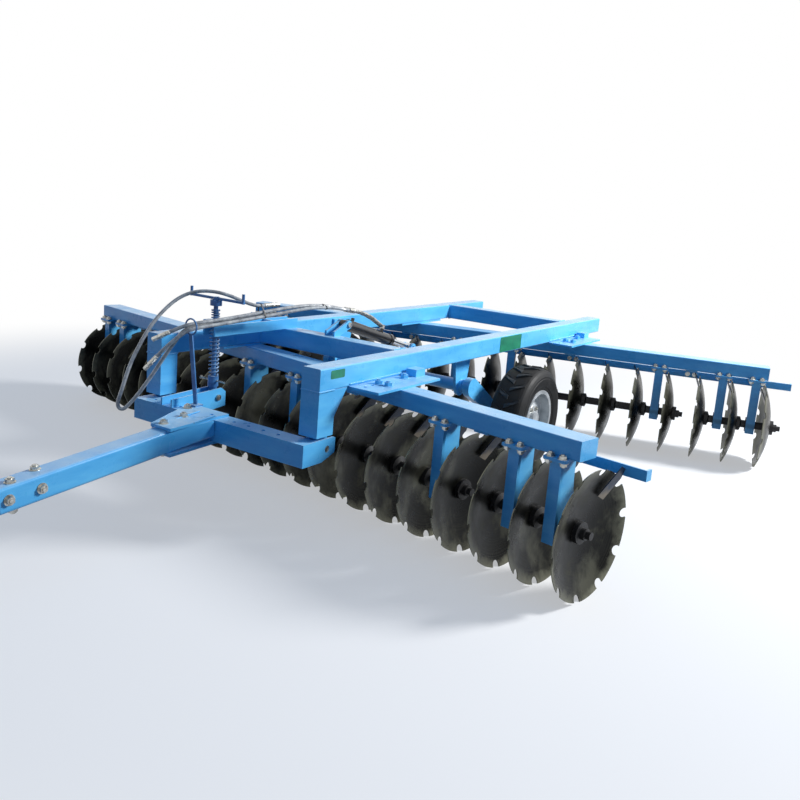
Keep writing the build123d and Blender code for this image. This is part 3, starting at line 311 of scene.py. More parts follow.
def enamel(name, base=PAINT, deep=PAINT_DEEP, pale=PAINT_PALE):
    """Brushed-on gloss paint: streaks, thin edges with a painted highlight, small chips and painted glare on the
    tops.
    """
    material, tree, paint = finish_named(name)
    coat, edge = brushed_coat(tree, base, deep, pale)
    chips = ramp(tree, noise(tree, 55.0, 5.0, 0.7), (0.62, 0.0), (0.66, 1.0))
    spots = ramp(tree, noise(tree, 21.0, 6.0, 0.75), (0.735, 0.0), (0.75, 1.0))
    bare = sums(tree, "MAXIMUM", sums(tree, "MULTIPLY", edge, chips), spots)
    patchy = ramp(tree, noise(tree, 6.0, 5.0, 0.65), (0.3, 0.25), (0.7, 0.7))
    # Faces that look up take patches of painted pale glare.
    painted_top_glare = sums(tree, "MULTIPLY", facing_up(tree), patchy)
    chipped = blended(tree, bare, coat, PRIMER)
    tree.links.new(blended(tree, painted_top_glare, chipped, TOP_GLARE), paint.inputs["Base Color"])
    tree.links.new(ramp(tree, noise(tree, 9.0, 4.0), (0.3, 0.22), (0.7, 0.42)), paint.inputs["Roughness"])
    paint.inputs["Specular IOR Level"].default_value = 0.3
    paint.inputs["Coat Weight"].default_value = 0.12
    paint.inputs["Coat Roughness"].default_value = 0.12
    dented(tree, paint, noise(tree, 90.0, 3.0, 0.6), 0.12, 0.002)
    return material


def finished(names, material):
    """Gives CAD nodes a material."""
    for name in names:
        mesh = nodes[name].data
        mesh.materials.clear()
        mesh.materials.append(material)


sky_blue = enamel("sky_blue_enamel")
finished(("longitudinals", "front_cross_tube", "rear_cross_tube", "front_posts", "front_gang_beam",
          "rear_gang_beam", "beam_clamps", "scraper_rails", "rail_stays", "guide_arm", "rock_hangers",
          "cross_member", "drawbar", "head_plates", "hitch_shank", "hitch_plates", "hitch_packings",
          "levelling_ears", "rockshaft", "wheel_arms", "lift_cranks"), sky_blue)


# Discs
# Each disc is a dished blade of hardened steel with ten half-round notches, bought in
# with a near-black lacquer. Soil has scoured the rims to bare, pale metal and left
# turned marks and olive smears nearer the middle.
ROWS, SECTIONS = ("front", "rear"), (1, 2, 3, 4)
LACQUER, LACQUER_DARK, SCOURED, STAIN = (15, 16, 17), (5, 6, 8), (122, 122, 106), (48, 48, 38)
SCOUR_FROM, SCOUR_TO, SCOUR_WANDERS = 0.268, 0.332, 0.16      # radii, and how far they stray
TURNED_LINES = 260.0


def joint_line(name):
    """A joint's place and direction in the part's axes."""
    joint = next(j for j in frame["joints"] if j["name"] == name)
    return Vector(joint["pos_m"]), Vector(joint["axis"])


def from_axle(tree, joint):
    """Distance from an axle's line, on the piece's own coordinates."""
    place, direction = joint_line(joint)
    offset = vectors(tree, "SUBTRACT", own_place(tree), place)
    return vectors(tree, "LENGTH", vectors(tree, "CROSS_PRODUCT", offset, direction))


def blade_steel(name, joint):
    material, tree, steel = finish_named(name)
    radius = from_axle(tree, joint)
    rings = tree.nodes.new("ShaderNodeTexNoise")
    rings.noise_dimensions = "1D"
    rings.inputs["Scale"].default_value = TURNED_LINES
    rings.inputs["Detail"].default_value = 3.0
    tree.links.new(radius, rings.inputs["W"])
    blotches = noise(tree, 7.0, 6.0, 0.68)
    lacquer = ramp(tree, blotches, (0.36, LACQUER_DARK), (0.55, LACQUER), (0.72, STAIN))
    strays = sums(tree, "MULTIPLY", sums(tree, "SUBTRACT", blotches, 0.5), SCOUR_WANDERS)
    scoured = ramp(tree, sums(tree, "ADD", radius, strays), (SCOUR_FROM, 0.0), (SCOUR_TO, 0.8))
    lines = ramp(tree, rings.outputs["Fac"], (0.42, 0.0), (0.7, 0.12))
    marks = sums(tree, "MULTIPLY", lines, ramp(tree, radius, (0.1, 0.3), (0.3, 1.0)))
    smears = ramp(tree, noise(tree, 3.2, 5.0, 0.6, stretch=(1.6, 1.0, 0.7)), (0.5, 0.0), (0.64, 0.34))
    bright = sums(tree, "MAXIMUM", sums(tree, "MAXIMUM", scoured, marks), smears)
    tree.links.new(blended(tree, bright, lacquer, SCOURED), steel.inputs["Base Color"])
    tree.links.new(ramp(tree, blotches, (0.35, 0.24), (0.7, 0.46)), steel.inputs["Roughness"])
    steel.inputs["Metallic"].default_value = 0.7
    steel.inputs["Specular IOR Level"].default_value = 0.2
    dented(tree, steel, rings.outputs["Fac"], 0.1, 0.0015)
    return material


for row in ROWS:
    finished([f"{row}_discs_{i}" for i in SECTIONS], blade_steel(f"{row}_blade_steel", f"{row}_gang_axle_1"))


# Gang axles
# Cast iron spools keep the discs apart on a square bolt, with an end washer and a large
# nut outside the last disc. They are dipped in black paint that has gone matt.
def cast_iron(name, base=(30, 31, 34), worn=(84, 82, 80)):
    material, tree, iron = finish_named(name)
    shade = tuple(int(c * 0.7) for c in base)
    grain = noise(tree, 60.0, 6.0, 0.7)
    body = ramp(tree, noise(tree, 9.0, 5.0, 0.6), (0.35, shade), (0.7, base))
    edge = sums(tree, "MULTIPLY", worn_edge(tree, 0.003), 0.6)
    tree.links.new(blended(tree, edge, body, worn), iron.inputs["Base Color"])
    tree.links.new(ramp(tree, grain, (0.3, 0.38), (0.7, 0.62)), iron.inputs["Roughness"])
    iron.inputs["Metallic"].default_value = 0.35
    dented(tree, iron, grain, 0.5, 0.002)
    return material


finished([f"{row}_axle_{i}" for row in ROWS for i in SECTIONS], cast_iron("black_cast_iron"))


# Hangers
# A flat bar welded under a bolted head plate carries each bearing. The bar has the
# frame's paint, and the cast bearing housing round the axle is black.
HOUSING_REACH, HOUSING_BLACK = 0.068, (32, 33, 36)


def hanger_paint():
    material, tree, paint = finish_named("hanger_enamel_and_iron")
    coat, _ = brushed_coat(tree, PAINT, PAINT_DEEP, PAINT_PALE)
    front, rear = (ramp(tree, from_axle(tree, f"{row}_gang_axle_1"),
                        (HOUSING_REACH, 1.0), (HOUSING_REACH + 0.004, 0.0)) for row in ROWS)
    housing = sums(tree, "MAXIMUM", front, rear)
    tree.links.new(blended(tree, housing, coat, HOUSING_BLACK), paint.inputs["Base Color"])
    tree.links.new(ramp(tree, housing, (0.0, 0.32), (1.0, 0.55)), paint.inputs["Roughness"])
    dented(tree, paint, noise(tree, 70.0, 5.0, 0.7), 0.25, 0.002)
    return material


finished(("hangers",), hanger_paint())


# Scrapers
# A narrow steel blade behind each disc keeps soil off its hollow side. The blades are
# painted dark blue, and their tips are rubbed bare by the discs.
BLADE_BLUE, BLADE_DEEP, BLADE_PALE, TIP_BARE = (26, 44, 68), (20, 32, 50), (38, 62, 92), (128, 118, 104)
TIP_TOP, COAT_FOOT, COAT_WANDERS = 0.555, 0.6, 0.08           # heights, and how far they stray


def scraper_paint():
    material, tree, paint = finish_named("scraper_enamel")
    coat = ramp(tree, noise(tree, 3.0, 4.0, 0.6), (0.3, BLADE_DEEP), (0.5, BLADE_BLUE), (0.75, BLADE_PALE))
    parts = tree.nodes.new("ShaderNodeSeparateXYZ")
    tree.links.new(own_place(tree), parts.inputs[0])
    strays = sums(tree, "MULTIPLY", noise(tree, 25.0, 4.0, 0.7), COAT_WANDERS)
    rubbed = ramp(tree, sums(tree, "ADD", parts.outputs["Z"], strays), (TIP_TOP, 1.0), (COAT_FOOT, 0.0))
    tree.links.new(blended(tree, rubbed, coat, TIP_BARE), paint.inputs["Base Color"])
    paint.inputs["Roughness"].default_value = 0.42
    tree.links.new(sums(tree, "MULTIPLY", rubbed, 0.6), paint.inputs["Metallic"])
    dented(tree, paint, noise(tree, 70.0, 4.0, 0.7), 0.25, 0.002)
    return material


finished(("scrapers",), scraper_paint())


# Pins
# Turned steel pins with a zinc finish hold the drawbar, the strut, the lift cylinder and
# its fittings.
def plated(name, pale=(206, 206, 200), dull=(150, 150, 146), rough=(0.22, 0.42), metal=0.9):
    material, tree, zinc = finish_named(name)
    patches = noise(tree, 40.0, 4.0, 0.6)
    tree.links.new(ramp(tree, patches, (0.35, dull), (0.65, pale)), zinc.inputs["Base Color"])
    tree.links.new(ramp(tree, patches, (0.3, rough[0]), (0.7, rough[1])), zinc.inputs["Roughness"])
    zinc.inputs["Metallic"].default_value = metal
    dented(tree, zinc, noise(tree, 160.0, 2.0), 0.08, 0.0008)
    return material


zinc_plate = plated("zinc_plate")
finished(("drawbar_pins", "levelling_pin", "clip_pin", "lift_pin", "cylinder_pipes", "tie_couplers"),
         zinc_plate)


# Levelling strut
# A steel rod with a T handle runs up through the guide on the frame. Rod and handle are
# painted a mid blue, and so is the ring on the drawbar that holds the hoses.
mid_blue = enamel("dark_blue_enamel", (66, 118, 172), (50, 96, 148), (92, 144, 192))
finished(("levelling_rod", "hose_holder"), mid_blue)


# Springs
# Two coil springs of painted steel wire sit on the rod, a long one below the guide and a
# short one above it.
spring_blue = enamel("spring_enamel", (84, 122, 166), (62, 94, 136), (128, 162, 198))
finished(("lower_spring", "upper_spring"), spring_blue)


def show(name, mesh, material, smooth=True):
    """An object for a mesh, in the part's axes."""
    mesh.name = name
    mesh.materials.clear()
    mesh.materials.append(material)
    for face in mesh.polygons:
        face.use_smooth = smooth
    return placed(name, mesh)


for name, seat_end in (("lower_spring", 0), ("upper_spring", 1)):
    coil = show(f"coiled_{name}", nodes[name].data.copy(), spring_blue)
    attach(coil, "levelling_rod")
    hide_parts(name)
    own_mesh(coil)


# Lift cylinder
# The cylinder's barrel is black, its rod hard chrome. Both work between lugs on the
# front cross tube and the cranks in the middle of the rockshaft.
gloss_black = cast_iron("black_gloss_paint", (22, 23, 26), (60, 62, 66))
gloss_black.node_tree.nodes["Principled BSDF"].inputs["Coat Weight"].default_value = 0.6
finished(("lift_barrel",), gloss_black)
finished(("lift_rod",), plated("hard_chrome", (225, 228, 230), (200, 204, 208), (0.08, 0.16), 1.0))


# Hoses
# Three rubber hydraulic hoses lie in a bundle over the frame to a ring on the drawbar,
# in a glossy grey cover. Two end under the ring in couplers. The third is a spare link
# that hangs in a loop in front of the drawbar and comes back over the handle.
HOSE_DIAMETER = 0.022
PIPE_X, HOSE_STRAIGHT = 0.018, 0.05
PIPE_FRONT = (1.085, 1.106)
PIPE_A_NEXT, PIPE_B_NEXT = (1.190, 1.090), (1.185, 1.092)


def ahead_of_pipe(x, next_point):
    """The front end of a pipe, and a point straight ahead of it."""
    end, after = Vector((x, *PIPE_FRONT)), Vector((x, *next_point))
    return tuple(end), tuple(end + (end - after).normalized() * HOSE_STRAIGHT)


HOSE_A = (*ahead_of_pipe(-PIPE_X, PIPE_A_NEXT), (-0.046, 0.958, 1.131), (-0.091, 0.800, 1.140),
          (-0.134, 0.640, 1.127), (-0.177, 0.470, 1.103), (-0.217, 0.310, 1.081), (-0.253, 0.160, 1.063),
          (-0.293, -0.005, 1.048), (-0.337, -0.056, 1.022), (-0.378, -0.090, 0.994))
HOSE_B = (*ahead_of_pipe(PIPE_X, PIPE_B_NEXT), (-0.019, 0.950, 1.126), (-0.070, 0.795, 1.126),
          (-0.117, 0.635, 1.103), (-0.160, 0.465, 1.079), (-0.200, 0.308, 1.058), (-0.237, 0.158, 1.041),
          (-0.278, -0.005, 1.022), (-0.300, -0.036, 1.004), (-0.332, -0.074, 0.966), (-0.386, -0.108, 0.906),
          (-0.428, -0.134, 0.848))
HOSE_C = ((-0.204, 0.480, 1.076), (-0.222, 0.385, 1.064), (-0.244, 0.270, 1.050), (-0.268, 0.135, 1.036),
          (-0.306, -0.006, 1.021), (-0.333, -0.034, 1.001), (-0.372, -0.054, 0.935), (-0.416, -0.072, 0.866),
          (-0.462, -0.098, 0.776), (-0.513, -0.130, 0.680), (-0.562, -0.160, 0.592), (-0.601, -0.184, 0.536),
          (-0.627, -0.203, 0.500), (-0.648, -0.224, 0.506), (-0.652, -0.230, 0.542), (-0.640, -0.214, 0.606),
          (-0.633, -0.190, 0.690), (-0.626, -0.160, 0.780), (-0.616, -0.110, 0.880), (-0.602, -0.050, 0.985),
          (-0.583, 0.028, 1.080), (-0.551, 0.104, 1.154), (-0.504, 0.165, 1.196), (-0.440, 0.208, 1.214),
          (-0.370, 0.258, 1.214), (-0.310, 0.305, 1.197), (-0.262, 0.352, 1.172), (-0.226, 0.400, 1.150),
          (-0.204, 0.440, 1.140), (-0.192, 0.490, 1.142))


def hose_rubber():
    material, tree, rubber = finish_named("hose_rubber")
    grime = noise(tree, 18.0, 5.0, 0.7)
    cover = ramp(tree, grime, (0.3, (100, 103, 108)), (0.5, (158, 161, 163)), (0.72, (206, 207, 202)))
    tree.links.new(cover, rubber.inputs["Base Color"])
    tree.links.new(ramp(tree, grime, (0.3, 0.2), (0.75, 0.42)), rubber.inputs["Roughness"])
    rubber.inputs["Coat Weight"].default_value = 0.8
    rubber.inputs["Coat Roughness"].default_value = 0.1
    dented(tree, rubber, noise(tree, 220.0, 2.0), 0.15, 0.001)
    return material


def curve_through(name, points):
    """A smooth curve led by a route's points."""
    line = bpy.data.curves.new(name, "CURVE")
    line.dimensions = "3D"
    spline = line.splines.new("NURBS")
    spline.points.add(len(points) - 1)
    for point, place in zip(spline.points, points):
        point.co = (*at(*place), 1)
    spline.order_u = 3
    spline.use_endpoint_u = True
    spline.resolution_u = 8
    return line


def applied(thing):
    """The evaluated object as a plain mesh; the object is thrown away."""
    bpy.context.view_layer.update()
    mesh = bpy.data.meshes.new_from_object(thing.evaluated_get(bpy.context.evaluated_depsgraph_get()))
    bpy.data.objects.remove(thing)
    return mesh


rubber_cover = hose_rubber()


def hose(name, node, route):
    """A hose on its route between the frame and the drawbar."""
    path = [tuple(v.co) for v in applied(placed(name, curve_through(name, route))).vertices]
    line = curve_through(name, route)
    line.bevel_depth = HOSE_DIAMETER / 2
    line.bevel_resolution = 5
    line.use_fill_caps = True
    tube = show(name, applied(placed(name, line)), rubber_cover)
    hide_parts(node)
    return tube, path


hoses = {name: hose(name, node, route) for name, node, route in
         (("hose_to_front_port", "hose_a", HOSE_A), ("hose_to_rear_port", "hose_b", HOSE_B),
          ("spare_link_hose", "hose_c", HOSE_C))}


# Couplers
# Each hose ends in a crimped steel ferrule with rolled grooves and a hexagon coupler
# body, both zinc plated. A coupler is turned on its hose's last stretch.
FERRULE_L, FERRULE_R, COUPLER_L, COUPLER_R = 0.048, 0.014, 0.062, 0.016
GROOVES, GROOVE_FIRST, GROOVE_STEP, FERRULE_SIDES = 4, 0.009, 0.009, 32


def circle(radius, sides):
    """Places evenly round a circle."""
    return [(radius * cos(2 * pi * k / sides), radius * sin(2 * pi * k / sides)) for k in range(sides)]


def skinned(rings, hollow=False):
    """Faces from ring to ring, and over both ends; hollow joins the last ring to the first."""
    shape = bmesh.new()
    rings = [[shape.verts.new(place) for place in ring] for ring in rings]
    for a, b in zip(rings, rings[1:] + rings[:1] if hollow else rings[1:]):
        for k in range(len(a)):
            after = (k + 1) % len(a)
            shape.faces.new((a[k], a[after], b[after], b[k]))
    if not hollow:
        shape.faces.new(rings[0][::-1])
        shape.faces.new(rings[-1])
    bmesh.ops.recalc_face_normals(shape, faces=shape.faces)
    return shape


def as_mesh(name, shape):
    mesh = bpy.data.meshes.new(name)
    shape.to_mesh(mesh)
    shape.free()
    return mesh


def turned(name, profile, start, direction, sides, material, hollow=False):
    """A turned piece: profile is (distance along, radius) from start, and hollow is for a ring."""
    base = Vector(direction).normalized().to_track_quat("Z", "Y").to_matrix()
    rings = [[Vector(start) + base @ Vector((x, y, along)) for x, y in circle(radius, sides)]
             for along, radius in profile]
    return show(name, as_mesh(name, skinned(rings, hollow)), material, smooth=False)


def coupler(name, route_end, before):
    """A ferrule and a coupler body beyond the end of a hose."""
    start, direction = at(*route_end), at(*route_end) - at(*before)
    crimped = [(0.0, FERRULE_R * 0.86), (0.002, FERRULE_R)]
    for k in range(GROOVES):
        foot = GROOVE_FIRST + GROOVE_STEP * k
        crimped += [(foot, FERRULE_R), (foot + 0.0015, FERRULE_R * 0.88), (foot + 0.004, FERRULE_R * 0.88),
                    (foot + 0.0055, FERRULE_R)]
    crimped += [(FERRULE_L, FERRULE_R)]
    ferrule = turned(name + "_ferrule", crimped, start, direction, FERRULE_SIDES, zinc_plate)
    neck, nose = COUPLER_R * 0.8, COUPLER_R * 0.95
    hexagon = [(0, neck), (0.003, COUPLER_R), (0.022, COUPLER_R), (0.024, neck), (0.03, neck),
               (0.032, nose), (COUPLER_L - 0.004, nose), (COUPLER_L, neck)]
    body = turned(name + "_body", hexagon, start + direction.normalized() * FERRULE_L, direction, 6, zinc_plate)
    return ferrule, body


ends = {}
for name, route, tail in (("ring_coupler_a", HOSE_A, -1), ("ring_coupler_b", HOSE_B, -1),
                          ("tie_coupler_low", HOSE_C, 0), ("tie_coupler_high", HOSE_C, -1)):
    ends[name] = coupler(name, route[tail], route[-2 if tail else 1])
    for piece in ends[name]:
        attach(piece, "drawbar" if name.startswith("ring") else "frame")
        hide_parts("ring_couplers" if name.startswith("ring") else "tie_couplers")

for name, pieces in (("hose_to_front_port", ends["ring_coupler_a"]),
                     ("hose_to_rear_port", ends["ring_coupler_b"]),
                     ("spare_link_hose", ends["tie_coupler_low"] + ends["tie_coupler_high"])):
    tube, path = hoses[name]
    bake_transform(tube)


# Tyres
# Moulded rubber implement tyres on the rims. A carcass is turned to its section, and
# leaning bars with rounded tops stand on it in two rows, half a step apart.
SIDES = ((1, "left"), (-1, "right"))
TYRE_RADIUS, TYRE_SIDES = 0.380, 128
TYRE_HALF, RIM_HALF, BEAD_RADIUS = 0.131, 0.108, 0.219
LUG_HEIGHT, LUGS, LUG_LEAN = 0.014, 18, radians(30.0)
LUG_IN, LUG_KNEE, LUG_OUT, LUG_WIDE = -0.006, 0.05, 0.094, 0.036
LUG_SUNK, LUG_SWELL, LUG_EDGE = 0.012, 0.0028, 0.003      # depth of the foot, fall of the top, rounding
KNEE_SHIFT, SHOULDER_FALL = 0.004, 0.010
BAR_FOOT, BAR_TOP = 0.369, 0.376       # radii between which rubber turns from dull to rubbed
RUBBED = (74, 77, 80)


def tyre_rubber():
    material, tree, rubber = finish_named("tyre_rubber")
    dusty = noise(tree, 14.0, 6.0, 0.7)
    plain = ramp(tree, dusty, (0.35, (12, 13, 15)), (0.6, (24, 25, 27)), (0.8, (52, 52, 50)))
    tops = ramp(tree, from_axle(tree, "left_wheel_axle"), (BAR_FOOT, 0.0), (BAR_TOP, 0.55))
    tree.links.new(blended(tree, tops, plain, RUBBED), rubber.inputs["Base Color"])
    tree.links.new(ramp(tree, dusty, (0.3, 0.42), (0.7, 0.7)), rubber.inputs["Roughness"])
    rubber.inputs["Specular IOR Level"].default_value = 0.22
    dented(tree, rubber, noise(tree, 120.0, 4.0, 0.6), 0.3, 0.002)
    return material


black_rubber = tyre_rubber()


def carcass_section():
    """Half of the tyre's section, from the bead out to the middle of the tread: x, radius."""
    crown = TYRE_RADIUS - LUG_HEIGHT
    return [(RIM_HALF - 0.002, BEAD_RADIUS - 0.02), (RIM_HALF, BEAD_RADIUS),
            (RIM_HALF + 0.008, BEAD_RADIUS + 0.008), (RIM_HALF + 0.010, BEAD_RADIUS + 0.020),
            (RIM_HALF + 0.014, BEAD_RADIUS + 0.022), (RIM_HALF + 0.020, BEAD_RADIUS + 0.040),
            (TYRE_HALF, 0.280), (TYRE_HALF, 0.300), (TYRE_HALF - 0.003, 0.303), (TYRE_HALF - 0.004, 0.316),
            (TYRE_HALF - 0.012, 0.335), (0.108, crown - 0.013), (0.096, crown - 0.005), (0.078, crown),
            (0.0, crown + 0.001)]


def growing_tree(name, inputs):
    """A Geometry Nodes tree with named inputs, its input sockets and its output socket."""
    tree = bpy.data.node_groups.new(name, "GeometryNodeTree")
    tree.interface.new_socket("Geometry", in_out="INPUT", socket_type="NodeSocketGeometry")
    for word, kind in inputs:
        tree.interface.new_socket(word, in_out="INPUT", socket_type="NodeSocket" + kind)
    tree.interface.new_socket("Geometry", in_out="OUTPUT", socket_type="NodeSocketGeometry")
    return tree, tree.nodes.new("NodeGroupInput").outputs, tree.nodes.new("NodeGroupOutput").inputs[0]


def made_real(tree, instances, material):
    """Instances as plain geometry in one material."""
    real, coloured = tree.nodes.new("GeometryNodeRealizeInstances"), tree.nodes.new("GeometryNodeSetMaterial")
    tree.links.new(instances, real.inputs[0])
    tree.links.new(real.outputs[0], coloured.inputs["Geometry"])
    tree.links.new(material, coloured.inputs["Material"])
    return coloured.outputs[0]


def grown(thing, tree, *settings):
    """An object's plain mesh after a tree has run on it, once for each set of inputs."""
    for values in settings:
        modifier = thing.modifiers.new(tree.name, "NODES")
        modifier.node_group = tree
        for item in tree.interface.items_tree:
            if item.item_type == "SOCKET" and item.in_out == "INPUT" and item.name in values:
                modifier[item.identifier] = values[item.name]
    return applied(thing)


def bar_tree():
    """Instances a bar on points round a wheel, each turned by the point's own angle."""
    tree, given, made = growing_tree("tyre_bars", (("Bar", "Object"), ("Step", "Float"), ("Turn", "Float"),
                                                   ("Count", "Int"), ("Rubber", "Material")))
    new, link = tree.nodes.new, tree.links.new
    line = new("GeometryNodeMeshLine")
    line.inputs["Offset"].default_value = (0, 0, 0)
    link(given["Count"], line.inputs["Count"])
    along = sums(tree, "MULTIPLY", new("GeometryNodeInputIndex").outputs[0], given["Step"])
    rotation = new("ShaderNodeCombineXYZ")
    link(sums(tree, "ADD", along, given["Turn"]), rotation.inputs["X"])
    bar = new("GeometryNodeObjectInfo")
    link(given["Bar"], bar.inputs["Object"])
    place = new("GeometryNodeInstanceOnPoints")
    link(line.outputs["Mesh"], place.inputs["Points"])
    link(bar.outputs["Geometry"], place.inputs["Instance"])
    link(rotation.outputs[0], place.inputs["Rotation"])
    joined = new("GeometryNodeJoinGeometry")
    link(made_real(tree, place.outputs[0], given["Rubber"]), joined.inputs[0])
    link(given["Geometry"], joined.inputs[0])
    link(joined.outputs[0], made)
    return tree


def lug(side):
    """One leaning bar at the top of a wheel, its foot sunk in the carcass."""
    foot, top = TYRE_RADIUS - LUG_HEIGHT - LUG_SUNK, TYRE_RADIUS - LUG_SWELL
    skew = (LUG_OUT - LUG_IN) * tan(LUG_LEAN)
    corners = [(LUG_IN, -(skew + LUG_WIDE) / 2), (LUG_KNEE, KNEE_SHIFT - LUG_WIDE / 2),
               (LUG_OUT, (skew - LUG_WIDE) / 2), (LUG_OUT, (skew + LUG_WIDE) / 2),
               (LUG_KNEE, KNEE_SHIFT + LUG_WIDE / 2), (LUG_IN, (LUG_WIDE - skew) / 2)]
    rings = []
    for height, spread in ((foot, 1.12), (top, 0.86)):
        ring = []
        for x, y in corners:
            middle = (x - (LUG_IN + LUG_OUT) / 2) * tan(LUG_LEAN)
            radius = height - (SHOULDER_FALL if x == LUG_OUT else 0.0)
            ring.append((side * x, middle + (y - middle) * spread, (radius ** 2 - y ** 2) ** 0.5))
        rings.append(ring)
    shape = skinned(rings)
    tops = [edge for edge in shape.edges if min(v.co.z for v in edge.verts) > foot]
    bmesh.ops.bevel(shape, geom=tops, offset=LUG_EDGE, segments=2, affect="EDGES", profile=0.6)
    return placed(f"bar_{side}", as_mesh("bar", shape))


bars = bar_tree()
bar_shapes = {side: lug(side) for side in (1, -1)}
half_section = carcass_section()
section = [(-x, r) for x, r in half_section] + [(x, r) for x, r in reversed(half_section[:-1])]
bar_step = 2 * pi / LUGS
for side, word in SIDES:
    carcass = turned(f"tyre_{word}_carcass", section, (0, 0, 0), (1, 0, 0), TYRE_SIDES, black_rubber, hollow=True)
    mesh = grown(carcass, bars, *({"Bar": bar_shapes[row], "Step": bar_step, "Turn": bar_step * row / 4,
                                   "Count": LUGS, "Rubber": black_rubber} for row in (1, -1)))
    mesh.transform(Matrix.Translation(joint_line(f"{word}_wheel_axle")[0]))
    tyre = show(f"dressed_tyre_{word}", mesh, black_rubber, smooth=False)
    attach(tyre, f"{word}_wheel")
    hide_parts(f"tyre_{word}")
for bar in bar_shapes.values():
    bpy.data.objects.remove(bar)


# Rims
# Pressed steel rims with a deep dish, silver paint inside and a bright rolled edge where
# tyre levers have been.
def silver_paint():
    material, tree, paint = finish_named("silver_rim_paint")
    marks = noise(tree, 12.0, 5.0, 0.7)
    coat = ramp(tree, marks, (0.3, (150, 156, 160)), (0.7, (206, 210, 212)))
    tree.links.new(blended(tree, worn_edge(tree, 0.004), coat, (228, 230, 230)), paint.inputs["Base Color"])
    tree.links.new(ramp(tree, marks, (0.3, 0.28), (0.7, 0.45)), paint.inputs["Roughness"])
    paint.inputs["Metallic"].default_value = 0.45
    dented(tree, paint, noise(tree, 80.0, 3.0), 0.12, 0.002)
    return material


finished(("rim_left", "rim_right"), silver_paint())


# Bolts and nuts
# Hexagon nuts on washers hold the head plates under the beams, the clamps, the rails,
# the drawbar's plates and the wheels. Most are zinc plated; the clamps' are painted.
GANG = {"front": dict(turn=radians(-10.0), origin_y=0.632, first=2.020, axle_behind=0.110, shift=0.040),
        "rear": dict(turn=radians(13.5), origin_y=3.033, first=2.391, axle_behind=0.050, shift=-0.020)}
PITCH, HANGER_AFTER, STAY_AFTER = 0.245, (0, 1, 3, 8, 10, 15, 17, 18), (2, 6, 12, 16)
BEAM_LOW, BEAM_HIGH, BEAM_MIDDLE, FRAME_LOW = 0.706, 0.806, 0.075, 0.820
HEAD_FRONT, HEAD_BACK, HEAD_THICK = -0.023, 0.128, 0.016      # bolts in front of a beam and behind
ABOVE_HEAD, UNDER_HEAD = 0.034, 0.042                         # their places left and right of a hanger
RAIL_BEHIND_AXLE, RAIL_MIDDLE = 0.190, 0.638
RAIL_AND_STAY, STAY_BOLTS = 0.024, 0.028                      # what the rails' bolts hold, and their places
CLAMP_X, CLAMP_BOLTS_X, CLAMP_SPARE_X, CLAMP_BOLTS_Y = 0.71, 0.735, 0.800, 0.130
HEAD_PLATES_Z = (0.410, 0.567)
HEAD_PLATES_BOLTS = ((-0.236, -0.066), (-0.108, -0.208), (-0.066, -0.386))
POLE_FRONT_Y, POLE_TOP, POLE_FALL, POLE_X, POLE_TUBE = -0.430, 0.548, radians(5.5), -0.040, 0.125
POLE_BOLTS, HITCH_BOLTS = ((-0.062, 0.710), (-0.018, 0.860)), (0.735, 0.895)
WHEEL_BOLTS, BOLT_CIRCLE, FLANGE_FACE = 6, 0.076, 0.066
HANGER_BOLT, RAIL_BOLT, CLAMP_BOLT, DRAWBAR_BOLT, WHEEL_BOLT = 0.020, 0.016, 0.026, 0.022, 0.015
WASHER_HEIGHT, WASHER_WIDER = 0.003, 1.28
UP, DOWN = Vector((0, 0, 1)), Vector((0, 0, -1))


def along(row, x, y, z):
    """A place counted along a gang's beam, square to it, and up."""
    return at(0, GANG[row]["origin_y"], z) + gang_way(row, x, y)


def gang_way(row, x, y):
    """A direction counted along a gang's beam and square to it."""
    turn = GANG[row]["turn"]
    return Vector((x * cos(turn) - y * sin(turn), x * sin(turn) + y * cos(turn), 0))


def clamp_y(row, side):
    """How far back the middle of a gang's beam passes under a frame tube."""
    return GANG[row]["origin_y"] + side * CLAMP_X * tan(GANG[row]["turn"]) + BEAM_MIDDLE


def on_pole(x, ahead, up):
    """A place on the drawbar, counted along its slope from the front of its plates."""
    return at(x, POLE_FRONT_Y - ahead * cos(POLE_FALL) - up * sin(POLE_FALL),
              POLE_TOP - ahead * sin(POLE_FALL) + up * cos(POLE_FALL))


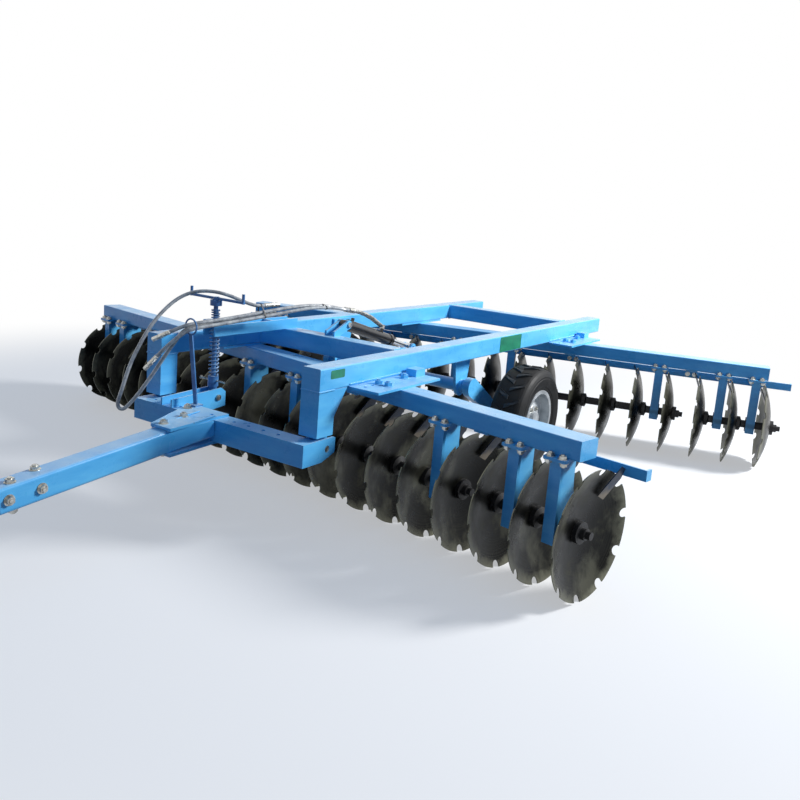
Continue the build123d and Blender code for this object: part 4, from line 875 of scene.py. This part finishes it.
def nut_tree():
    """A washer, a hexagon nut and the end of a bolt on every point, along its own direction."""
    sizes = ("Nut Radius", "Nut Height", "Washer Height", "Stud Radius", "Stud Height")
    tree, given, made = growing_tree("hexagon_nuts", [(size, "Float") for size in sizes] + [("Metal", "Material")])
    new, link = tree.nodes.new, tree.links.new
    joined = new("GeometryNodeJoinGeometry")
    for sides, radius, height, wider in ((20, "Nut Radius", "Washer Height", WASHER_WIDER),
                                         (6, "Nut Radius", "Nut Height", 1.0),
                                         (12, "Stud Radius", "Stud Height", 1.0)):
        drum, lifted, up = new("GeometryNodeMeshCylinder"), new("GeometryNodeTransform"), new("ShaderNodeCombineXYZ")
        drum.inputs["Vertices"].default_value = sides
        link(sums(tree, "MULTIPLY", given[radius], wider), drum.inputs["Radius"])
        link(given[height], drum.inputs["Depth"])
        link(sums(tree, "MULTIPLY", given[height], 0.5), up.inputs["Z"])
        link(drum.outputs["Mesh"], lifted.inputs["Geometry"])
        link(up.outputs[0], lifted.inputs["Translation"])
        link(lifted.outputs[0], joined.inputs[0])
    facing, turn = new("GeometryNodeInputNamedAttribute"), new("FunctionNodeAlignRotationToVector")
    facing.data_type = "FLOAT_VECTOR"
    facing.inputs["Name"].default_value = "facing"
    turn.axis = "Z"
    link(facing.outputs["Attribute"], turn.inputs["Vector"])
    place = new("GeometryNodeInstanceOnPoints")
    link(given["Geometry"], place.inputs["Points"])
    link(joined.outputs[0], place.inputs["Instance"])
    link(turn.outputs[0], place.inputs["Rotation"])
    link(made_real(tree, place.outputs[0], given["Metal"]), made)
    return tree


nuts = nut_tree()


def bolted(name, spots, size, body, metal):
    """Nuts at spots, which are (place, direction), for a bolt of that diameter."""
    points = bpy.data.meshes.new(name)
    points.from_pydata([tuple(place) for place, _ in spots], [], [])
    facing = points.attributes.new("facing", "FLOAT_VECTOR", "POINT")
    for value, (_, direction) in zip(facing.data, spots):
        value.vector = direction
    mesh = grown(placed(name, points), nuts,
                 {"Nut Radius": size * 0.95, "Nut Height": size * 0.85, "Washer Height": WASHER_HEIGHT,
                  "Stud Radius": size * 0.5, "Stud Height": size * 1.15, "Metal": metal})
    piece = show(name, mesh, metal, smooth=False)
    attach(piece, body)


hanger_nuts, rail_nuts, clamp_nuts = [], [], []
for row, gang in GANG.items():
    for k in HANGER_AFTER:
        x = gang["first"] - PITCH * (k + 0.5) + gang["shift"]
        hanger_nuts += [(along(row, x + dx, HEAD_FRONT, BEAM_LOW), UP) for dx in (-ABOVE_HEAD, ABOVE_HEAD)]
        hanger_nuts += [(along(row, x + dx, dy, BEAM_LOW - HEAD_THICK), DOWN)
                        for dx in (-UNDER_HEAD, UNDER_HEAD) for dy in (HEAD_FRONT, HEAD_BACK)]
    rail = gang["axle_behind"] + RAIL_BEHIND_AXLE
    for k in STAY_AFTER:
        x = gang["first"] - PITCH * (k + 0.5) + gang["shift"]
        for dx in (-STAY_BOLTS, STAY_BOLTS):
            rail_nuts.append((along(row, x + dx, rail, RAIL_MIDDLE), gang_way(row, 0, -1)))
            rail_nuts.append((along(row, x + dx, rail + RAIL_AND_STAY, RAIL_MIDDLE), gang_way(row, 0, 1)))
    for side in (-1, 1):
        y = clamp_y(row, side)
        clamp_nuts += [(at(side * CLAMP_BOLTS_X, y + dy, FRAME_LOW), UP) for dy in (-CLAMP_BOLTS_Y, CLAMP_BOLTS_Y)]
        clamp_nuts.append((at(side * CLAMP_BOLTS_X, y + CLAMP_BOLTS_Y, BEAM_HIGH), DOWN))
        clamp_nuts.append((at(side * CLAMP_SPARE_X, y - CLAMP_BOLTS_Y, FRAME_LOW), UP))
bolted("hanger_nuts", hanger_nuts, HANGER_BOLT, "frame", zinc_plate)
bolted("rail_nuts", rail_nuts, RAIL_BOLT, "frame", zinc_plate)
bolted("clamp_nuts", clamp_nuts, CLAMP_BOLT, "frame", sky_blue)

pole_up = Vector((0, -sin(POLE_FALL), cos(POLE_FALL)))
plate_nuts = [(at(x, y, HEAD_PLATES_Z[1]), UP) for x, y in HEAD_PLATES_BOLTS]
plate_nuts += [(at(x, y, HEAD_PLATES_Z[0]), DOWN) for x, y in HEAD_PLATES_BOLTS]
plate_nuts += [(on_pole(x, ahead, 0.0), pole_up) for x, ahead in POLE_BOLTS]
plate_nuts += [(on_pole(x, ahead, -POLE_TUBE), -pole_up) for x, ahead in POLE_BOLTS]
plate_nuts += [(on_pole(POLE_X + side * POLE_TUBE / 2, ahead, -POLE_TUBE / 2), Vector((side, 0, 0)))
               for side in (-1, 1) for ahead in HITCH_BOLTS]
bolted("drawbar_nuts", plate_nuts, DRAWBAR_BOLT, "drawbar", zinc_plate)

for side, word in SIDES:
    hub = joint_line(f"{word}_wheel_axle")[0]
    ring = [(hub + Vector((side * FLANGE_FACE, y, z)), Vector((side, 0, 0)))
            for y, z in circle(BOLT_CIRCLE, WHEEL_BOLTS)]
    bolted(f"wheel_nuts_{word}", ring, WHEEL_BOLT, f"{word}_wheel", zinc_plate)


# Welds
# The frame's joints are welded all round. Each bead is a row of overlapping scales along
# the joint, and takes the frame's paint.
TUBE, FRAME_INNER, FRAME_OUTER, CROSS_TUBES_Y = 0.125, 0.55, 0.675, (0.858, 3.405)
CLAMP_HALF, CLAMP_SEAM_Z = 0.32, 0.834
POLE_SEAMS_X, POLE_SEAM_LENGTH = (-0.102, 0.022), 0.33
SHAFT_Y, SHAFT_Z, SHAFT_RADIUS = 1.75, 0.60, 0.0455
SHAFT_SEAMS_X = (-0.628, -0.572, 0.572, 0.628, -0.048, 0.048)
FRAME_BEAD, PLATE_BEAD = 0.0055, 0.005


def bead_tree():
    """A row of flattened scales along every edge of the given lines."""
    tree, given, made = growing_tree("weld_bead", (("Bead Radius", "Float"), ("Step", "Float"),
                                                   ("Paint", "Material")))
    new, link = tree.nodes.new, tree.links.new
    line, spaced, scale, place = (new("GeometryNodeMeshToCurve"), new("GeometryNodeResampleCurve"),
                                  new("GeometryNodeMeshUVSphere"), new("GeometryNodeInstanceOnPoints"))
    spaced.mode = "LENGTH"
    link(given["Geometry"], line.inputs["Mesh"])
    link(line.outputs[0], spaced.inputs["Curve"])
    link(given["Step"], spaced.inputs["Length"])
    scale.inputs["Segments"].default_value, scale.inputs["Rings"].default_value = 8, 5
    link(given["Bead Radius"], scale.inputs["Radius"])
    link(spaced.outputs[0], place.inputs["Points"])
    link(scale.outputs["Mesh"], place.inputs["Instance"])
    link(made_real(tree, place.outputs[0], given["Paint"]), made)
    return tree


beads = bead_tree()


def welded(name, lines, radius, body):
    """Beads along lines, each a list of points; a line that ends where it starts is closed."""
    corners, edges = [], []
    for line in lines:
        start = len(corners)
        corners += [tuple(point) for point in line]
        edges += [(start + k, start + k + 1) for k in range(len(line) - 1)]
    mesh = bpy.data.meshes.new(name)
    mesh.from_pydata(corners, edges, [])
    values = {"Bead Radius": radius, "Step": radius * 0.9, "Paint": sky_blue}
    piece = show(name, grown(placed(name, mesh), beads, values), sky_blue)
    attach(piece, body)


frame_seams = []
for side in (-1, 1):
    for y in CROSS_TUBES_Y:
        frame_seams.append([at(side * FRAME_INNER, y + dy, FRAME_LOW + dz)
                            for dy, dz in ((0, 0), (TUBE, 0), (TUBE, TUBE), (0, TUBE), (0, 0))])
    frame_seams.append([at(side * x, y, FRAME_LOW)
                        for x, y in ((FRAME_INNER, 0), (FRAME_OUTER, 0), (FRAME_OUTER, TUBE),
                                     (FRAME_INNER, TUBE), (FRAME_INNER, 0))])
    for row in ROWS:
        frame_seams.append([at(side * FRAME_OUTER, clamp_y(row, side) + dy, CLAMP_SEAM_Z)
                            for dy in (-CLAMP_HALF, CLAMP_HALF)])
welded("frame_welds", frame_seams, FRAME_BEAD, "frame")
pole_seams = [[on_pole(x, 0.0, 0.0), on_pole(x, -POLE_SEAM_LENGTH, 0.0)] for x in POLE_SEAMS_X]
welded("pole_welds", pole_seams, PLATE_BEAD, "drawbar")
round_shaft = circle(SHAFT_RADIUS, 24)
shaft_seams = [[at(x, SHAFT_Y + dy, SHAFT_Z + dz) for dy, dz in round_shaft + round_shaft[:1]]
               for x in SHAFT_SEAMS_X]
welded("shaft_welds", shaft_seams, PLATE_BEAD, "rockshaft")


# Blank labels
# Thin green plates without any words are fixed to the outer sides of the frame tubes,
# a large one over the wheel and a small one at the front.
LABEL_THICK, LABEL_CORNER = 0.0012, 0.008
LARGE_LABEL, SMALL_LABEL = (2.055, 2.405, 0.828, 0.938), (0.088, 0.208, 0.882, 0.928)     # y, z from and to


def green_label():
    material, tree, paint = finish_named("label_green")
    patchy = noise(tree, 22.0, 5.0, 0.65)
    green = ramp(tree, patchy, (0.3, (12, 104, 78)), (0.6, (22, 128, 94)), (0.8, (58, 150, 116)))
    tree.links.new(green, paint.inputs["Base Color"])
    tree.links.new(ramp(tree, patchy, (0.3, 0.3), (0.7, 0.5)), paint.inputs["Roughness"])
    dented(tree, paint, noise(tree, 60.0, 3.0), 0.08, 0.001)
    return material


label_green = green_label()


def label(name, side, y_from, y_to, z_from, z_to):
    """A plate with rounded corners against the outer side of a frame tube."""
    inner_y, inner_z = (y_from + LABEL_CORNER, y_to - LABEL_CORNER), (z_from + LABEL_CORNER, z_to - LABEL_CORNER)
    outline = []
    for quarter, (y, z) in enumerate(((inner_y[1], inner_z[1]), (inner_y[0], inner_z[1]),
                                      (inner_y[0], inner_z[0]), (inner_y[1], inner_z[0]))):
        for step in range(4):
            a = (quarter + step / 3) * pi / 2
            outline.append((y + LABEL_CORNER * cos(a), z + LABEL_CORNER * sin(a)))
    rings = [[at(side * x, y, z) for y, z in outline] for x in (FRAME_OUTER, FRAME_OUTER + LABEL_THICK)]
    piece = show(name, as_mesh(name, skinned(rings)), label_green, smooth=False)
    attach(piece, "frame")


for side, word in SIDES:
    label(f"large_label_{word}", side, *LARGE_LABEL)
label("small_label_left", 1, *SMALL_LABEL)


# Hose ties
# Black plastic straps are drawn tight round the bundle, one between the levelling handle
# and the cross tube and one near the lift cylinder.
STRAP_WIDE, STRAP_THICK, STRAP_CLEAR, STRAP_STEPS = 0.009, 0.0022, 0.0004, 20
STRAP_FRONT_Y, STRAP_REAR_Y = 0.462, 0.900


def strap_rubber():
    material, tree, plastic = finish_named("strap_plastic")
    black = ramp(tree, noise(tree, 50.0, 3.0), (0.3, (18, 18, 20)), (0.7, (40, 40, 42)))
    tree.links.new(black, plastic.inputs["Base Color"])
    plastic.inputs["Roughness"].default_value = 0.42
    dented(tree, plastic, noise(tree, 300.0, 2.0), 0.1, 0.0006)
    return material


strap_plastic = strap_rubber()


def crossing(route, y):
    """Where a hose's path passes a place along the frame."""
    for a, b in zip(route, route[1:]):
        if (a[1] - y) * (b[1] - y) <= 0 and a[1] != b[1]:
            t = (y - a[1]) / (b[1] - a[1])
            return a[0] + t * (b[0] - a[0]), a[2] + t * (b[2] - a[2])


def hull(points):
    """The convex outline of points, anticlockwise."""
    points = sorted(set(points))
    sides = []
    for run in (points, points[::-1]):
        part = []
        for q in run:
            while len(part) > 1 and ((part[-1][0] - part[-2][0]) * (q[1] - part[-2][1])
                                     - (part[-1][1] - part[-2][1]) * (q[0] - part[-2][0])) <= 0:
                part.pop()
            part.append(q)
        sides += part[:-1]
    return sides


def strap(name, y, paths, body):
    """A strap round the hoses where they pass y."""
    y = at(0, y, 0).y
    inside = hull([(round(x + dx, 5), round(z + dz, 5)) for x, z in (crossing(path, y) for path in paths)
                   for dx, dz in circle(HOSE_DIAMETER / 2 + STRAP_CLEAR, STRAP_STEPS)])
    middle = Vector([sum(c) / len(inside) for c in zip(*inside)])
    rings = []
    for grow, edge in ((0.0, -1), (STRAP_THICK, -1), (STRAP_THICK, 1), (0.0, 1)):
        ring = []
        for x, z in inside:
            out = (Vector((x, z)) - middle).normalized() * grow
            ring.append((x + out.x, y + edge * STRAP_WIDE / 2, z + out.y))
        rings.append(ring)
    piece = show(name, as_mesh(name, skinned(rings, hollow=True)), strap_plastic, smooth=False)
    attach(piece, body)


front_port, rear_port, spare = (hoses[name][1] for name in
                                ("hose_to_front_port", "hose_to_rear_port", "spare_link_hose"))
low_link, high_link = spare[:len(spare) // 3], spare[-len(spare) // 4:]
strap("bundle_strap_front", STRAP_FRONT_Y, [front_port, rear_port, low_link, high_link], "frame")
strap("bundle_strap_rear", STRAP_REAR_Y, [front_port, rear_port], "frame")
